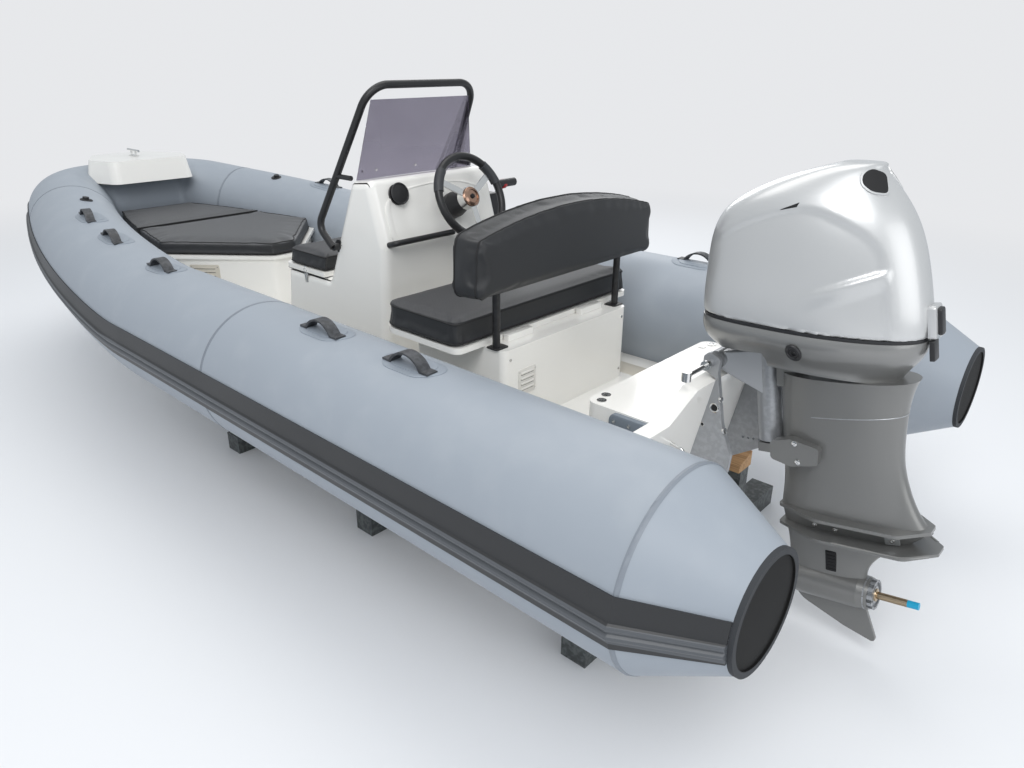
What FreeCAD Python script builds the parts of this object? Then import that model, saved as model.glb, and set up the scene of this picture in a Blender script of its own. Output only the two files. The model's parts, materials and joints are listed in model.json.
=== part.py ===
import FreeCAD, Part, Sketcher
import math
import os
from types import SimpleNamespace
from FreeCAD import Vector, Placement, Rotation

# Rigid inflatable boat with an outboard engine, resting on a low storage cradle.
# Frame: +X to the bow, +Y to port, +Z up. The origin is on the floor, on the centre line,
# below the foot of the transom. All lengths are millimetres, all angles are degrees.

doc = FreeCAD.newDocument("RigidInflatableBoat")
sheet = doc.addObject("Spreadsheet::Sheet", "Sheet")

SIZES = {
    "Fits": {
        "SeatGap": 0.3,
        "CutOverrun": 40,
        "RunningGap": 0.08,
    },
    "Collar": {
        "TubeDiameter": 500,
        "BowTubeDiameter": 450,
        "TubeAftX": -590,
        "TubeAftY": 785,
        "TubeAxisZ": 620,
        "ToeInAngle": 0.57,
        "ConeLength": 200,
        "EndDiscDiameter": 286,
        "EndDiscThickness": 12,
        "EndDiscRim": 16,
        "ChamberJointX": 1300,
        "BowBendStartX": 2005,
        "SideBendRadius": 6113,
        "SideBendAngle": 18.82,
        "BowBendRadius": 263.5,
        "BowCrossHalf": 183,
        "SheerStartX": 1955,
        "SheerBlend": 390,
        "SheerAngle": 5.6,
    },
    "Strake": {
        "StrakeCentreAngle": -3,
        "StrakeHeight": 50,
        "StrakeLowerHeight": 22,
        "StrakeBase": 5,
        "StrakeRib": 9,
        "BandHeight": 56,
    },
    "Handles": {
        "HandleLength": 190,
        "HandleRise": 42,
        "HandleWidth": 38,
        "HandleStrap": 6,
        "HandleFoot": 34,
        "ValveX": 3330,
        "ValveDiameter": 46,
        "ValveHeight": 16,
    },
    "Hull": {
        "KeelZ": 270,
        "TransomRake": 12,
        "TransomThickness": 46,
        "TransomTopZ": 790,
        "TransomShoulderZ": 712,
        "TransomTopHalf": 235,
        "TransomShoulderHalf": 345,
        "HullTopZ": 460,
        "HullBowTopZ": 640,
        "HullSheerStartX": 2400,
        "HullBowX": 4080,
        "HullSideInset": 120,
        "ChineHalf": 575,
        "ChineZ": 446,
        "HullAftOverrun": 250,
        "HullKeelBowZ": 612,
        "HullChineBowZ": 632,
        "HullNoseX": 3900,
        "HullNoseFlare": 60,
        "HullFlare": 12,
        "ChineStep": 2,
        "TransomCorner": 30,
    },
    "Deck": {
        "DeckThickness": 20,
        "DeckFrontX": 2440,
        "LedgeTopZ": 712,
        "LedgeFrontX": 190,
        "LedgeHalf": 362,
        "LedgeCorner": 40,
    },
    "BowLocker": {
        "LockerApexX": 2352,
        "LockerApexHalf": 70,
        "LockerSideX": 2800,
        "LockerFrontX": 3790,
        "LockerTopZ": 734,
        "LockerRimHeight": 16,
        "LockerRimLip": 14,
        "LockerWall": 10,
        "LockerTubeGap": 1.5,
        "CushionThickness": 66,
        "BowCushionJointX": 3205,
        "BowCushionSplit": 8,
        "BowCushionInset": 18,
        "LockerCorner": 60,
        "CushionCorner": 50,
    },
    "BowStep": {
        "StepAftX": 3715,
        "StepSideX": 3930,
        "StepFrontX": 4215,
        "StepAftHalf": 235,
        "StepSideHalf": 312,
        "StepFrontHalf": 190,
        "StepBottomZ": 955,
        "StepTopZ": 1080,
        "StepTopInset": 28,
        "StepCorner": 60,
        "CleatLength": 150,
        "CleatRise": 34,
        "CleatBar": 14,
    },
    "Console": {
        "ConsoleHalf": 310,
        "ConsoleAftX": 1200,
        "DashLowX": 1166,
        "DashLowZ": 1000,
        "DashTopX": 1238,
        "DashTopZ": 1240,
        "ConsoleBrowX": 1352,
        "ConsoleBrowZ": 1228,
        "ConsoleKneeX": 1540,
        "ConsoleSeatZ": 818,
        "ConsoleSeatLength": 302,
        "ConsoleFootLength": 356,
        "ConsoleWall": 8,
        "ConsoleCorner": 34,
        "ConsoleLidHeight": 22,
        "ConsoleLidLip": 10,
        "ConsoleLidGap": 26,
        "ConsoleCushionThickness": 66,
        "HingePinDiameter": 12,
        "HingePinInset": 16,
        "HatchMargin": 30,
        "HatchSideMargin": 40,
        "LidCornerFront": 40,
        "LidCornerAft": 6,
        "ConsoleCushionInset": 6,
        "ConsoleCushionCornerAft": 10,
    },
    "Screen": {
        "ScreenThickness": 5,
        "ScreenCreaseHalf": 138,
        "ScreenFootHalf": 296,
        "ScreenTopHalf": 243,
        "ScreenCreaseX": 1342,
        "ScreenFootX": 1322,
        "ScreenTopX": 1275,
        "ScreenFootLift": 7.5,
        "ScreenWingLift": 9.5,
        "ScreenFootZ": 1222,
        "ScreenTopZ": 1513,
    },
    "Hoop": {
        "HoopTube": 28,
        "HoopHalf": 336,
        "HoopTopHalf": 262,
        "HoopTopX": 1258,
        "HoopTopRise": 335,
        "HoopKneeX": 1538,
        "HoopKneeZ": 1040,
        "HoopEndX": 1452,
        "HoopEndZ": 968,
        "HoopCorner": 95,
        "HoopLowCorner": 50,
        "HoopStay": 90,
        "GrabBarDiameter": 22,
        "GrabBarPortY": 285,
        "GrabBarStarboardY": -10,
        "GrabBarStand": 42,
        "GrabBarZ": 1012,
        "GaugeDiameter": 78,
        "GaugeY": 195,
        "GaugeZ": 1180,
        "GaugeDepth": 9,
    },
    "Wheel": {
        "WheelDiameter": 350,
        "WheelRim": 30,
        "WheelX": 1085,
        "WheelY": -62,
        "WheelZ": 1158,
        "WheelTilt": 24,
        "HubDiameter": 84,
        "HubDepth": 34,
        "BezelDiameter": 100,
        "SpokeWidth": 26,
        "SpokeThickness": 6,
        "HelmHousing": 60,
        "HelmReach": 90,
    },
    "Throttle": {
        "ThrottleX": 1290,
        "ThrottleZ": 1070,
        "ThrottleBoxLength": 150,
        "ThrottleBoxHeight": 110,
        "ThrottleBoxDepth": 46,
        "ThrottleLeverLength": 150,
        "ThrottleCorner": 14,
        "ThrottleHub": 52,
        "ThrottleHubDepth": 14,
        "ThrottleLever": 18,
        "ThrottleLean": 14,
        "ThrottleKnob": 34,
        "ThrottleKnobLength": 100,
    },
    "HelmSeat": {
        "SeatAftX": 530,
        "SeatFrontX": 968,
        "SeatHalf": 350,
        "SeatTopZ": 772,
        "SeatWall": 8,
        "SeatLidHeight": 20,
        "SeatLidAftX": 616,
        "SeatLidFrontX": 1004,
        "SeatCushionHalf": 484,
        "SeatCushionThickness": 88,
        "PostDiameter": 26,
        "PostX": 578,
        "PostHalf": 335,
        "BackrestBottomZ": 958,
        "BackrestSideZ": 1165,
        "BackrestApexZ": 1273,
        "BackrestCorner": 44,
        "BackrestTaper": 14,
        "SeatCorner": 24,
        "SeatHatchAft": 24,
        "SeatHatchFront": 40,
        "SeatHatchSide": 50,
        "SeatLidCornerAft": 30,
        "SeatLidCornerFront": 70,
        "SeatLidInset": 6,
        "BackrestHalf": 492,
        "BackrestAftX": 520,
        "BackrestThickness": 112,
    },
    "Transom": {
        "EyeRadius": 26,
        "EyeRod": 9,
        "EyeHalf": 300,
        "EyeHeight": 350,
        "RamDiameter": 14,
        "RamLength": 120,
        "RamNut": 30,
        "RamNutLength": 16,
    },
    "Engine": {
        "TiltAxisX": -90,
        "TiltAxisZ": 840,
        "TrimOut": 10,
        "BracketHalf": 132,
        "BracketPlate": 16,
        "BracketLength": 400,
        "TiltTubeDiameter": 25,
        "TiltTubeHalf": 150,
        "SwivelX": -115,
        "SwivelTubeDiameter": 72,
        "SwivelShaftDiameter": 36,
        "SwivelTopZ": 30,
        "SwivelBottomZ": -262,
        "SwivelHalf": 100,
        "YokeHeight": 10,
        "YokeGap": 6,
        "YokeHalf": 44,
        "YokeReach": 30,
        "LowYokeFoot": 20,
        "LowYokeHalf": 34,
        "LowYokeDepth": 34,
        "LowYokeReach": 26,
        "YokeDepth": 54,
        "BracketBossShare": 1.2,
        "BracketToe": 40,
        "BracketHeelX": 128,
        "BracketHeelZ": 86,
        "BracketBackX": 120,
        "BracketBackZ": 150,
        "BracketWaistX": 62,
        "BracketWaistZ": 235,
        "BracketCorner": 9,
        "BracketHole": 9,
        "SwivelArmTop": 24,
        "SwivelArmDepth": 120,
        "SwivelArmRound": 8,
        "SeamFrontX": 32,
        "SeamRearX": -546,
        "SeamMiddleX": -240,
        "SeamMiddleZ": 119,
        "SeamSlope": 8.35,
        "CowlWidestX": -170,
        "CowlHalf": 180,
        "CowlHeight": 416,
        "CowlWall": 5,
        "SealHeight": 8,
        "SealInset": 2,
        "SealWidth": 12,
        "PanLip": 46,
        "PanDepth": 124,
        "LegHalf": 66,
        "LegFrontX": -158,
        "LegRearX": -492,
        "LegTopZ": -36,
        "LegFootZ": -470,
        "CoverFrontX": -150,
        "CoverLength": 142,
        "CoverTopZ": -222,
        "CoverHeight": 84,
        "CoverThickness": 32,
        "PlateZ": -521,
        "PlateTipX": -587,
        "PlateHalf": 108,
        "PlateThickness": 9,
        "SplashZ": -464,
        "SplashThickness": 10,
        "SplashFront": 8,
        "SplashRear": 74,
        "ShaftAxisZ": -705,
        "TorpedoDiameter": 104,
        "TorpedoNoseX": -118,
        "TorpedoRearX": -408,
        "SkegTipX": -425,
        "SkegTipZ": -868,
        "SkegThickness": 11,
        "StrutFrontX": -150,
        "StrutLength": 410,
        "SkegFootX": -330,
        "SkegFootZ": -838,
        "PropShaftDiameter": 24,
        "ShaftRootDiameter": 28,
        "ShaftRootLength": 60,
        "ShaftCollarDiameter": 38,
        "ShaftCollarLength": 16,
        "ShaftSeatLength": 82,
        "CapLength": 30,
        "CapDiameter": 21,
        "PowerheadLength": 300,
        "PowerheadWidth": 190,
        "PowerheadHeight": 220,
    },
    "Cradle": {
        "BeamHalf": 270,
        "BeamWidth": 60,
        "BeamHeight": 120,
        "BeamBottomZ": 190,
        "BeamAftX": -66,
        "BeamFrontX": 2100,
        "BunkWidth": 90,
        "FootBeamWidth": 90,
        "FootBeamHeight": 80,
        "FootBeamHalf": 620,
        "LegSide": 60,
    },
}

row = 1
for group, values in SIZES.items():
    sheet.set("A%d" % row, group)
    row += 1
    for alias, value in values.items():
        sheet.set("A%d" % row, alias)
        sheet.set("B%d" % row, str(value))
        sheet.setAlias("B%d" % row, alias)
        row += 1
doc.recompute()


class Size(float):
    """A number that also keeps the sheet formula it comes from."""

    def __new__(cls, value, text):
        made = float.__new__(cls, value)
        made.text = text
        return made

    def __add__(self, other):
        return Size(float(self) + float(other), "(%s + %s)" % (self.text, text_of(other)))

    def __radd__(self, other):
        return Size(float(other) + float(self), "(%s + %s)" % (text_of(other), self.text))

    def __sub__(self, other):
        return Size(float(self) - float(other), "(%s - %s)" % (self.text, text_of(other)))

    def __rsub__(self, other):
        return Size(float(other) - float(self), "(%s - %s)" % (text_of(other), self.text))

    def __mul__(self, other):
        return Size(float(self) * float(other), "(%s * %s)" % (self.text, text_of(other)))

    __rmul__ = __mul__

    def __truediv__(self, other):
        return Size(float(self) / float(other), "(%s / %s)" % (self.text, text_of(other)))

    def __neg__(self):
        return Size(-float(self), "(0 - %s)" % self.text)


def text_of(value):
    return value.text if isinstance(value, Size) else repr(float(value))


d = SimpleNamespace(**{alias: Size(float(sheet.get(alias)), "Sheet." + alias)
                       for values in SIZES.values() for alias in values})

parts = []


def keep(obj, label):
    obj.Label = label
    parts.append(obj)
    return obj


def feature(label, shape, placement=None):
    obj = doc.addObject("Part::Feature", label + "_solid")
    obj.Shape = shape
    if placement is not None:
        obj.Placement = placement.multiply(shape.Placement)
    return keep(obj, label)


def bind(obj, **sizes):
    """Tie properties to the sheet; a double underscore in a name stands for a dot."""
    for prop, value in sizes.items():
        obj.setExpression(prop.replace("__", "."), text_of(value))
    return obj


def bind_place(obj, x, y, z):
    return bind(obj, Placement__Base__x=x, Placement__Base__y=y, Placement__Base__z=z)


def block(name, low, high):
    """Box whose sides and corner are tied to the sheet."""
    obj = doc.addObject("Part::Box", name)
    bind(obj, Length=high[0] - low[0], Width=high[1] - low[1], Height=high[2] - low[2])
    return bind_place(obj, *low)


UPWARD = Vector(0, 0, 1)
TO_PORT = Vector(0, 1, 0)
FORWARD = Vector(1, 0, 0)


def bar(name, base, axis, radius, length):
    """Round bar from a base point along an axis, tied to the sheet."""
    obj = doc.addObject("Part::Cylinder", name)
    obj.Placement = Placement(Vector(*base), Rotation(UPWARD, axis))
    bind(obj, Radius=radius, Height=length)
    return bind_place(obj, *base)


def joined(name, pieces):
    obj = doc.addObject("Part::MultiFuse", name)
    obj.Shapes = pieces
    return obj


def less(name, base, tool):
    obj = doc.addObject("Part::Cut", name)
    obj.Base = base
    obj.Tool = tool
    return obj


def grouped(name, pieces):
    obj = doc.addObject("Part::Compound", name)
    obj.Links = pieces
    return obj


def mirrored(name, source):
    obj = doc.addObject("Part::Mirroring", name)
    obj.Source = source
    obj.Base = Vector(0, 0, 0)
    obj.Normal = TO_PORT
    return obj


def body_named(name):
    return doc.addObject("PartDesign::Body", name + "_body")


def sketch_on(body, name, role, points, level=0):
    """Sketch of straight sides in one of the body's own planes, each corner tied to the sheet."""
    sketch = body.newObject("Sketcher::SketchObject", name)
    plane = [f for f in body.Origin.OriginFeatures if f.Role == role][0]
    sketch.AttachmentSupport = [(plane, "")]
    sketch.MapMode = "FlatFace"
    bind(sketch, AttachmentOffset__Base__z=level)
    count = len(points)
    for i in range(count):
        start, end = points[i], points[(i + 1) % count]
        sketch.addGeometry(Part.LineSegment(Vector(start[0], start[1], 0), Vector(end[0], end[1], 0)), False)
    for i in range(count):
        sketch.addConstraint(Sketcher.Constraint("Coincident", i, 2, (i + 1) % count, 1))
    for i, (across, along) in enumerate(points):
        for kind, value, axis in (("DistanceX", across, -2), ("DistanceY", along, -1)):
            if float(value) == 0:
                sketch.addConstraint(Sketcher.Constraint("PointOnObject", i, 1, axis))
            else:
                index = sketch.addConstraint(Sketcher.Constraint(kind, -1, 1, i, 1, float(value)))
                sketch.setExpression("Constraints[%d]" % index, text_of(value))
    return sketch


def pad_on(body, sketch, length):
    pad = body.newObject("PartDesign::Pad", sketch.Name + "Pad")
    pad.Profile = sketch
    bind(pad, Length=length)
    doc.recompute()
    return pad


def pocket_up(body, sketch, length):
    """Cut upwards from a sketch below the solid."""
    before = body.Shape.Volume
    pocket = body.newObject("PartDesign::Pocket", sketch.Name + "Pocket")
    pocket.Profile = sketch
    pocket.Reversed = True
    bind(pocket, Length=length)
    doc.recompute()
    if pocket.Shape.Volume >= before:
        raise RuntimeError("pocket cuts nothing: " + sketch.Name)
    return pocket


def fillet_on(body, base, radius, chosen):
    """Round the edges of the last feature that a test picks."""
    fillet = body.newObject("PartDesign::Fillet", base.Name + "Fillet")
    fillet.Base = (base, ["Edge%d" % (i + 1) for i, edge in enumerate(base.Shape.Edges) if chosen(edge)])
    bind(fillet, Radius=radius)
    doc.recompute()
    return fillet


def rectangle(low_x, high_x, half):
    return [(low_x, -half), (high_x, -half), (high_x, half), (low_x, half)]


def upright(edge):
    return edge.BoundBox.XLength + edge.BoundBox.YLength < edge.BoundBox.ZLength / 2


def slab_body(label, low_x, high_x, half, low_z, thickness, aft_corner, front_corner):
    """Flat slab with rounded corners, tighter at one end than at the other."""
    body = body_named(label)
    slab = pad_on(body, sketch_on(body, label + "Outline", "XY_Plane", rectangle(low_x, high_x, half), low_z),
                  thickness)
    middle = float(low_x + high_x) / 2
    slab = fillet_on(body, slab, aft_corner, lambda e: upright(e) and e.CenterOfMass.x < middle)
    fillet_on(body, slab, front_corner, lambda e: upright(e) and e.CenterOfMass.x > middle)
    return keep(body, label)


def box_between(low, high):
    return Part.makeBox(high[0] - low[0], high[1] - low[1], high[2] - low[2], Vector(*low))


def rod(start, end, radius):
    axis = end.sub(start)
    return Part.makeCylinder(radius, axis.Length, start, axis)


def flip_side(v):
    return Vector(v.x, -v.y, v.z)


def solid_of(label):
    return [piece for piece in parts if piece.Label == label][0].Shape


def mirror_port(shape):
    return shape.mirror(Vector(0, 0, 0), Vector(0, 1, 0))


def rounded_outline(points, radii, place):
    """Closed wire through the points with each corner rounded by its radius."""
    count = len(points)
    flat = [Vector(p[0], p[1], 0) for p in points]
    starts, ends, mids = [], [], []
    for i in range(count):
        corner = flat[i]
        back = flat[i - 1].sub(corner)
        ahead = flat[(i + 1) % count].sub(corner)
        radius = radii[i] if isinstance(radii, (list, tuple)) else radii
        back.normalize()
        ahead.normalize()
        half = math.acos(max(-1, min(1, back.dot(ahead)))) / 2
        if radius <= 0 or abs(math.sin(half) - 1) < 1e-9:
            starts.append(corner)
            ends.append(corner)
            mids.append(None)
            continue
        reach = radius / math.tan(half)
        bisector = back.add(ahead)
        bisector.normalize()
        centre = corner.add(bisector.multiply(radius / math.sin(half)))
        inward = corner.sub(centre)
        inward.normalize()
        starts.append(corner.add(back.multiply(reach)))
        ends.append(corner.add(ahead.multiply(reach)))
        mids.append(centre.add(inward.multiply(radius)))
    edges = []
    for i in range(count):
        if mids[i] is not None:
            edges.append(Part.Arc(place(starts[i]), place(mids[i]), place(ends[i])).toShape())
        following = (i + 1) % count
        if ends[i].distanceToPoint(starts[following]) > 1e-6:
            edges.append(Part.LineSegment(place(ends[i]), place(starts[following])).toShape())
    return Part.Wire(edges)


def plan(z):
    return lambda p: Vector(p.x, p.y, z)


def side(y):
    return lambda p: Vector(p.x, y, p.y)


def front(x):
    return lambda p: Vector(x, p.x, p.y)


def prism(wire, along):
    return Part.Face(wire).extrude(along)


def round_pipe(points, diameter, corners):
    """Bent round bar: straight runs joined by tangent arcs."""
    pts = [Vector(*p) for p in points]
    edges = []
    last = pts[0]
    for i in range(1, len(pts) - 1):
        back = pts[i - 1].sub(pts[i])
        ahead = pts[i + 1].sub(pts[i])
        back.normalize()
        ahead.normalize()
        half = math.acos(max(-1, min(1, back.dot(ahead)))) / 2
        radius = corners[i - 1] if isinstance(corners, (list, tuple)) else corners
        reach = radius / math.tan(half)
        bisector = back.add(ahead)
        bisector.normalize()
        centre = pts[i].add(Vector(bisector).multiply(radius / math.sin(half)))
        start = pts[i].add(Vector(back).multiply(reach))
        end = pts[i].add(Vector(ahead).multiply(reach))
        middle = centre.sub(Vector(bisector).multiply(radius))
        edges.append(Part.LineSegment(last, start).toShape())
        edges.append(Part.Arc(start, middle, end).toShape())
        last = end
    edges.append(Part.LineSegment(last, pts[-1]).toShape())
    path = Part.Wire(edges)
    tangent = pts[1].sub(pts[0])
    ring = Part.Wire([Part.makeCircle(diameter / 2, pts[0], tangent)])
    return path.makePipeShell([ring], True, False)


# Collar: the centre line of the air tube, its height and its radius along the boat.

TUBE_RADIUS = d.TubeDiameter / 2
BOW_RADIUS = d.BowTubeDiameter / 2
TOE = math.radians(d.ToeInAngle)
SIDE_BEND = math.radians(d.SideBendAngle)
SIDE_START_Y = d.TubeAftY - (d.BowBendStartX - d.TubeAftX) * math.tan(TOE)
SIDE_LENGTH = d.SideBendRadius * (SIDE_BEND - TOE)
BOW_LENGTH = d.BowBendRadius * (math.pi / 2 - SIDE_BEND)
BOW_JOINT_SHARE = 0.86
BOW_JOINT_S = SIDE_LENGTH * BOW_JOINT_SHARE
BOW_END_S = SIDE_LENGTH + BOW_LENGTH + d.BowCrossHalf


SHEER_ANGLE = math.radians(d.SheerAngle)
SHEER_PIVOT_X = d.SheerStartX + d.SheerBlend / 2
SHEER_RADIUS = d.SheerBlend / 2 / math.tan(SHEER_ANGLE / 2)


def sheer_at(x):
    """Where a station of the level path ends up once the bow is raised: x, rise and slope."""
    if x <= d.SheerStartX:
        return x, 0, 0
    if x < d.SheerStartX + d.SheerBlend:
        lean = SHEER_ANGLE * (x - d.SheerStartX) / d.SheerBlend
        return d.SheerStartX + SHEER_RADIUS * math.sin(lean), SHEER_RADIUS * (1 - math.cos(lean)), lean
    ahead = x - SHEER_PIVOT_X
    return SHEER_PIVOT_X + ahead * math.cos(SHEER_ANGLE), ahead * math.sin(SHEER_ANGLE), SHEER_ANGLE


def collar_plan(x_or_s, on_bend):
    """Plan point and heading: at a station x on the straight, or at arc length s on the bends."""
    if not on_bend:
        y = d.TubeAftY - (x_or_s - d.TubeAftX) * math.tan(TOE)
        return x_or_s, y, TOE
    s = x_or_s
    if s <= SIDE_LENGTH:
        a = TOE + s / d.SideBendRadius
        x = d.BowBendStartX + d.SideBendRadius * (math.sin(a) - math.sin(TOE))
        y = SIDE_START_Y - d.SideBendRadius * (math.cos(TOE) - math.cos(a))
        return x, y, a
    x0 = d.BowBendStartX + d.SideBendRadius * (math.sin(SIDE_BEND) - math.sin(TOE))
    y0 = SIDE_START_Y - d.SideBendRadius * (math.cos(TOE) - math.cos(SIDE_BEND))
    a = min(SIDE_BEND + (s - SIDE_LENGTH) / d.BowBendRadius, math.pi / 2)
    x = x0 + d.BowBendRadius * (math.sin(a) - math.sin(SIDE_BEND))
    y = y0 - d.BowBendRadius * (math.cos(SIDE_BEND) - math.cos(a))
    left = s - SIDE_LENGTH - BOW_LENGTH
    if left > 0:
        y -= left
    return x, y, a


def collar_station(x_or_s, on_bend):
    """Centre, tangent, outward and up directions, and radius of the tube at one station."""
    flat_x, y, a = collar_plan(x_or_s, on_bend)
    x, rise, lean = sheer_at(flat_x)
    share = min(1, max(0, x_or_s / BOW_JOINT_S)) if on_bend else 0
    return SimpleNamespace(
        centre=Vector(x, y, d.TubeAxisZ + rise),
        tangent=Vector(math.cos(a) * math.cos(lean), -math.sin(a), math.cos(a) * math.sin(lean)),
        outward=Vector(math.sin(a) * math.cos(lean), math.cos(a), math.sin(a) * math.sin(lean)),
        up=Vector(-math.sin(lean), 0, math.cos(lean)),
        radius=TUBE_RADIUS + (BOW_RADIUS - TUBE_RADIUS) * share)


def tube_ring(station, grow=0):
    """Section circle of the tube, always starting at its outer side so that lofts don't twist."""
    ring = Part.Wire([Part.makeCircle(station.radius + grow)])
    ring.Placement = Placement(station.centre, Rotation(station.outward, station.up, station.tangent, "XYZ"))
    return ring


def collar_s(x):
    """Arc length on the side bend at a station x."""
    sine = math.sin(TOE) + (x - d.BowBendStartX) / d.SideBendRadius
    return d.SideBendRadius * (math.asin(sine) - TOE)


def station_at(x):
    return collar_station(x, False) if x <= d.BowBendStartX else collar_station(collar_s(x), True)


def tube_y(x):
    return station_at(x).centre.y


SIDE_STEPS = 7


def aft_chamber(grow=0):
    aft = collar_station(d.TubeAftX, False)
    shoulder = collar_station(d.TubeAftX + d.ConeLength, False)
    joint = collar_station(d.ChamberJointX, False)
    cone = Part.makeCone(d.EndDiscDiameter / 2 + grow, TUBE_RADIUS + grow,
                         shoulder.centre.distanceToPoint(aft.centre), aft.centre, aft.tangent)
    body = rod(shoulder.centre, joint.centre, TUBE_RADIUS + grow)
    return cone.fuse(body).removeSplitter()


def forward_chamber(grow=0):
    first = collar_station(d.ChamberJointX, False)
    straight_end = collar_station(d.SheerStartX, False)
    bend = [collar_station(BOW_JOINT_S * i / SIDE_STEPS, True) for i in range(1, SIDE_STEPS + 1)]
    body = rod(first.centre, straight_end.centre, TUBE_RADIUS + grow)
    curved = Part.makeLoft([tube_ring(s, grow) for s in [straight_end] + bend], True, False)
    return body.fuse(curved)


def bow_chamber(grow=0):
    """Bow piece of the collar: bends in a level plane, which the sheer then tips up."""
    radius = BOW_RADIUS + grow
    pieces = []
    joint_x, joint_y, joint_a = collar_plan(BOW_JOINT_S, True)
    bend_x, bend_y, bend_a = collar_plan(SIDE_LENGTH, True)
    end_x, end_y, end_a = collar_plan(SIDE_LENGTH + BOW_LENGTH, True)
    for x, y, a, turn, bend_radius in ((joint_x, joint_y, joint_a, bend_a - joint_a, d.SideBendRadius),
                                       (bend_x, bend_y, bend_a, end_a - bend_a, d.BowBendRadius)):
        ring = Part.makeCircle(radius, Vector(x, y, 0), Vector(math.cos(a), -math.sin(a), 0))
        pivot = Vector(x - bend_radius * math.sin(a), y - bend_radius * math.cos(a), 0)
        pieces.append(Part.Face(Part.Wire([ring])).revolve(pivot, Vector(0, 0, -1), math.degrees(turn)))
    pieces += [mirror_port(piece) for piece in pieces]
    cross = rod(Vector(end_x, end_y, 0), Vector(end_x, -end_y, 0), radius)
    bow = cross.fuse(pieces)
    bow.translate(Vector(-SHEER_PIVOT_X, 0, 0))
    tip = Placement(Vector(SHEER_PIVOT_X, 0, d.TubeAxisZ), Rotation(Vector(0, 1, 0), -d.SheerAngle))
    bow.Placement = tip.multiply(bow.Placement)
    return bow


def cut_in_turn(shape, cutters):
    for cutter in cutters:
        shape = shape.cut(cutter)
    return shape


def collar_cutter():
    """The whole collar, larger by the seating gap, to fit the hull and deck to it."""
    port = [aft_chamber(d.SeatGap), forward_chamber(d.SeatGap)]
    return port + [mirror_port(s) for s in port] + [bow_chamber(d.SeatGap)]


def build_collar():
    for name, maker in (("aft", aft_chamber), ("forward", forward_chamber)):
        chamber = maker()
        feature("tube_port_" + name, chamber)
        feature("tube_starboard_" + name, mirror_port(chamber))
    feature("tube_bow", bow_chamber())

    aft = collar_station(d.TubeAftX, False)
    back = Vector(aft.tangent).multiply(-1)
    lip = d.EndDiscThickness * 0.6
    disc = bar("disc", (d.TubeAftX, d.TubeAftY, d.TubeAxisZ), back, d.EndDiscDiameter / 2, d.EndDiscThickness)
    recess = bar("disc_recess", tuple(aft.centre.add(Vector(back).multiply(lip))), back,
                 d.EndDiscDiameter / 2 - d.EndDiscRim, d.EndDiscThickness)
    port = less("end_disc", disc, recess)
    keep(grouped("end_discs", [port, mirrored("end_disc_starboard", port)]), "tube_end_discs")


def band_wire(station, low_angle, high_angle, depths):
    """Closed outline on the outer side of the tube, as deep as each listed step."""
    inner = station.radius + d.SeatGap

    def point(angle, reach):
        a = math.radians(angle)
        return station.centre.add(Vector(station.outward).multiply(reach * math.cos(a))).add(
            Vector(station.up).multiply(reach * math.sin(a)))

    count = len(depths)
    outer = [point(low_angle + (high_angle - low_angle) * share, inner + depth) for share, depth in depths]
    edges = [Part.Arc(point(low_angle, inner), point((low_angle + high_angle) / 2, inner),
                      point(high_angle, inner)).toShape()]
    edges.append(Part.LineSegment(point(high_angle, inner), outer[-1]).toShape())
    for i in range(count - 1, 0, -1):
        edges.append(Part.LineSegment(outer[i], outer[i - 1]).toShape())
    edges.append(Part.LineSegment(outer[0], point(low_angle, inner)).toShape())
    return Part.Wire(edges)


STRAKE_RIB_SHARES = ((0, 0), (0.05, 0.1), (0.14, 0.78), (0.25, 1), (0.36, 0.78), (0.44, 0.1), (0.54, 0.1),
                     (0.62, 0.78), (0.74, 1), (0.86, 0.78), (0.95, 0.1), (1, 0))
CONE_SPREAD = 1.4


def strip_along_collar(low, high, depths):
    """Strip on the outer side of the whole collar, made station by station like the tube itself."""
    face = lambda station: Part.Face(band_wire(station, low, high, depths))
    first = collar_station(d.TubeAftX + d.ConeLength, False)
    straight_end = collar_station(d.SheerStartX, False)
    bend = [collar_station(BOW_JOINT_S * i / SIDE_STEPS, True) for i in range(1, SIDE_STEPS + 1)]
    aft = collar_station(d.TubeAftX, False)
    aft.radius = d.EndDiscDiameter / 2
    on_cone = Part.makeLoft([band_wire(aft, low * CONE_SPREAD, high * CONE_SPREAD, depths),
                             band_wire(first, low, high, depths)], True, True)
    run = straight_end.centre.sub(first.centre)
    straight = face(first).extrude(run)
    curved = Part.makeLoft([band_wire(s, low, high, depths) for s in [straight_end] + bend], True, False)
    pieces = [on_cone, curved]
    for s, length, bend_radius in ((BOW_JOINT_S, SIDE_LENGTH - BOW_JOINT_S, d.SideBendRadius),
                                   (SIDE_LENGTH, BOW_LENGTH, d.BowBendRadius)):
        station = collar_station(s, True)
        pivot = station.centre.sub(Vector(station.outward).multiply(bend_radius))
        axis = Vector(station.up).multiply(-1)
        pieces.append(face(station).revolve(pivot, axis, math.degrees(length / bend_radius)))
    corner = collar_station(SIDE_LENGTH + BOW_LENGTH, True)
    pieces.append(face(corner).extrude(Vector(0, -corner.centre.y, 0)))
    half = straight.fuse(pieces)
    return half.fuse(mirror_port(half)).removeSplitter()


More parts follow.
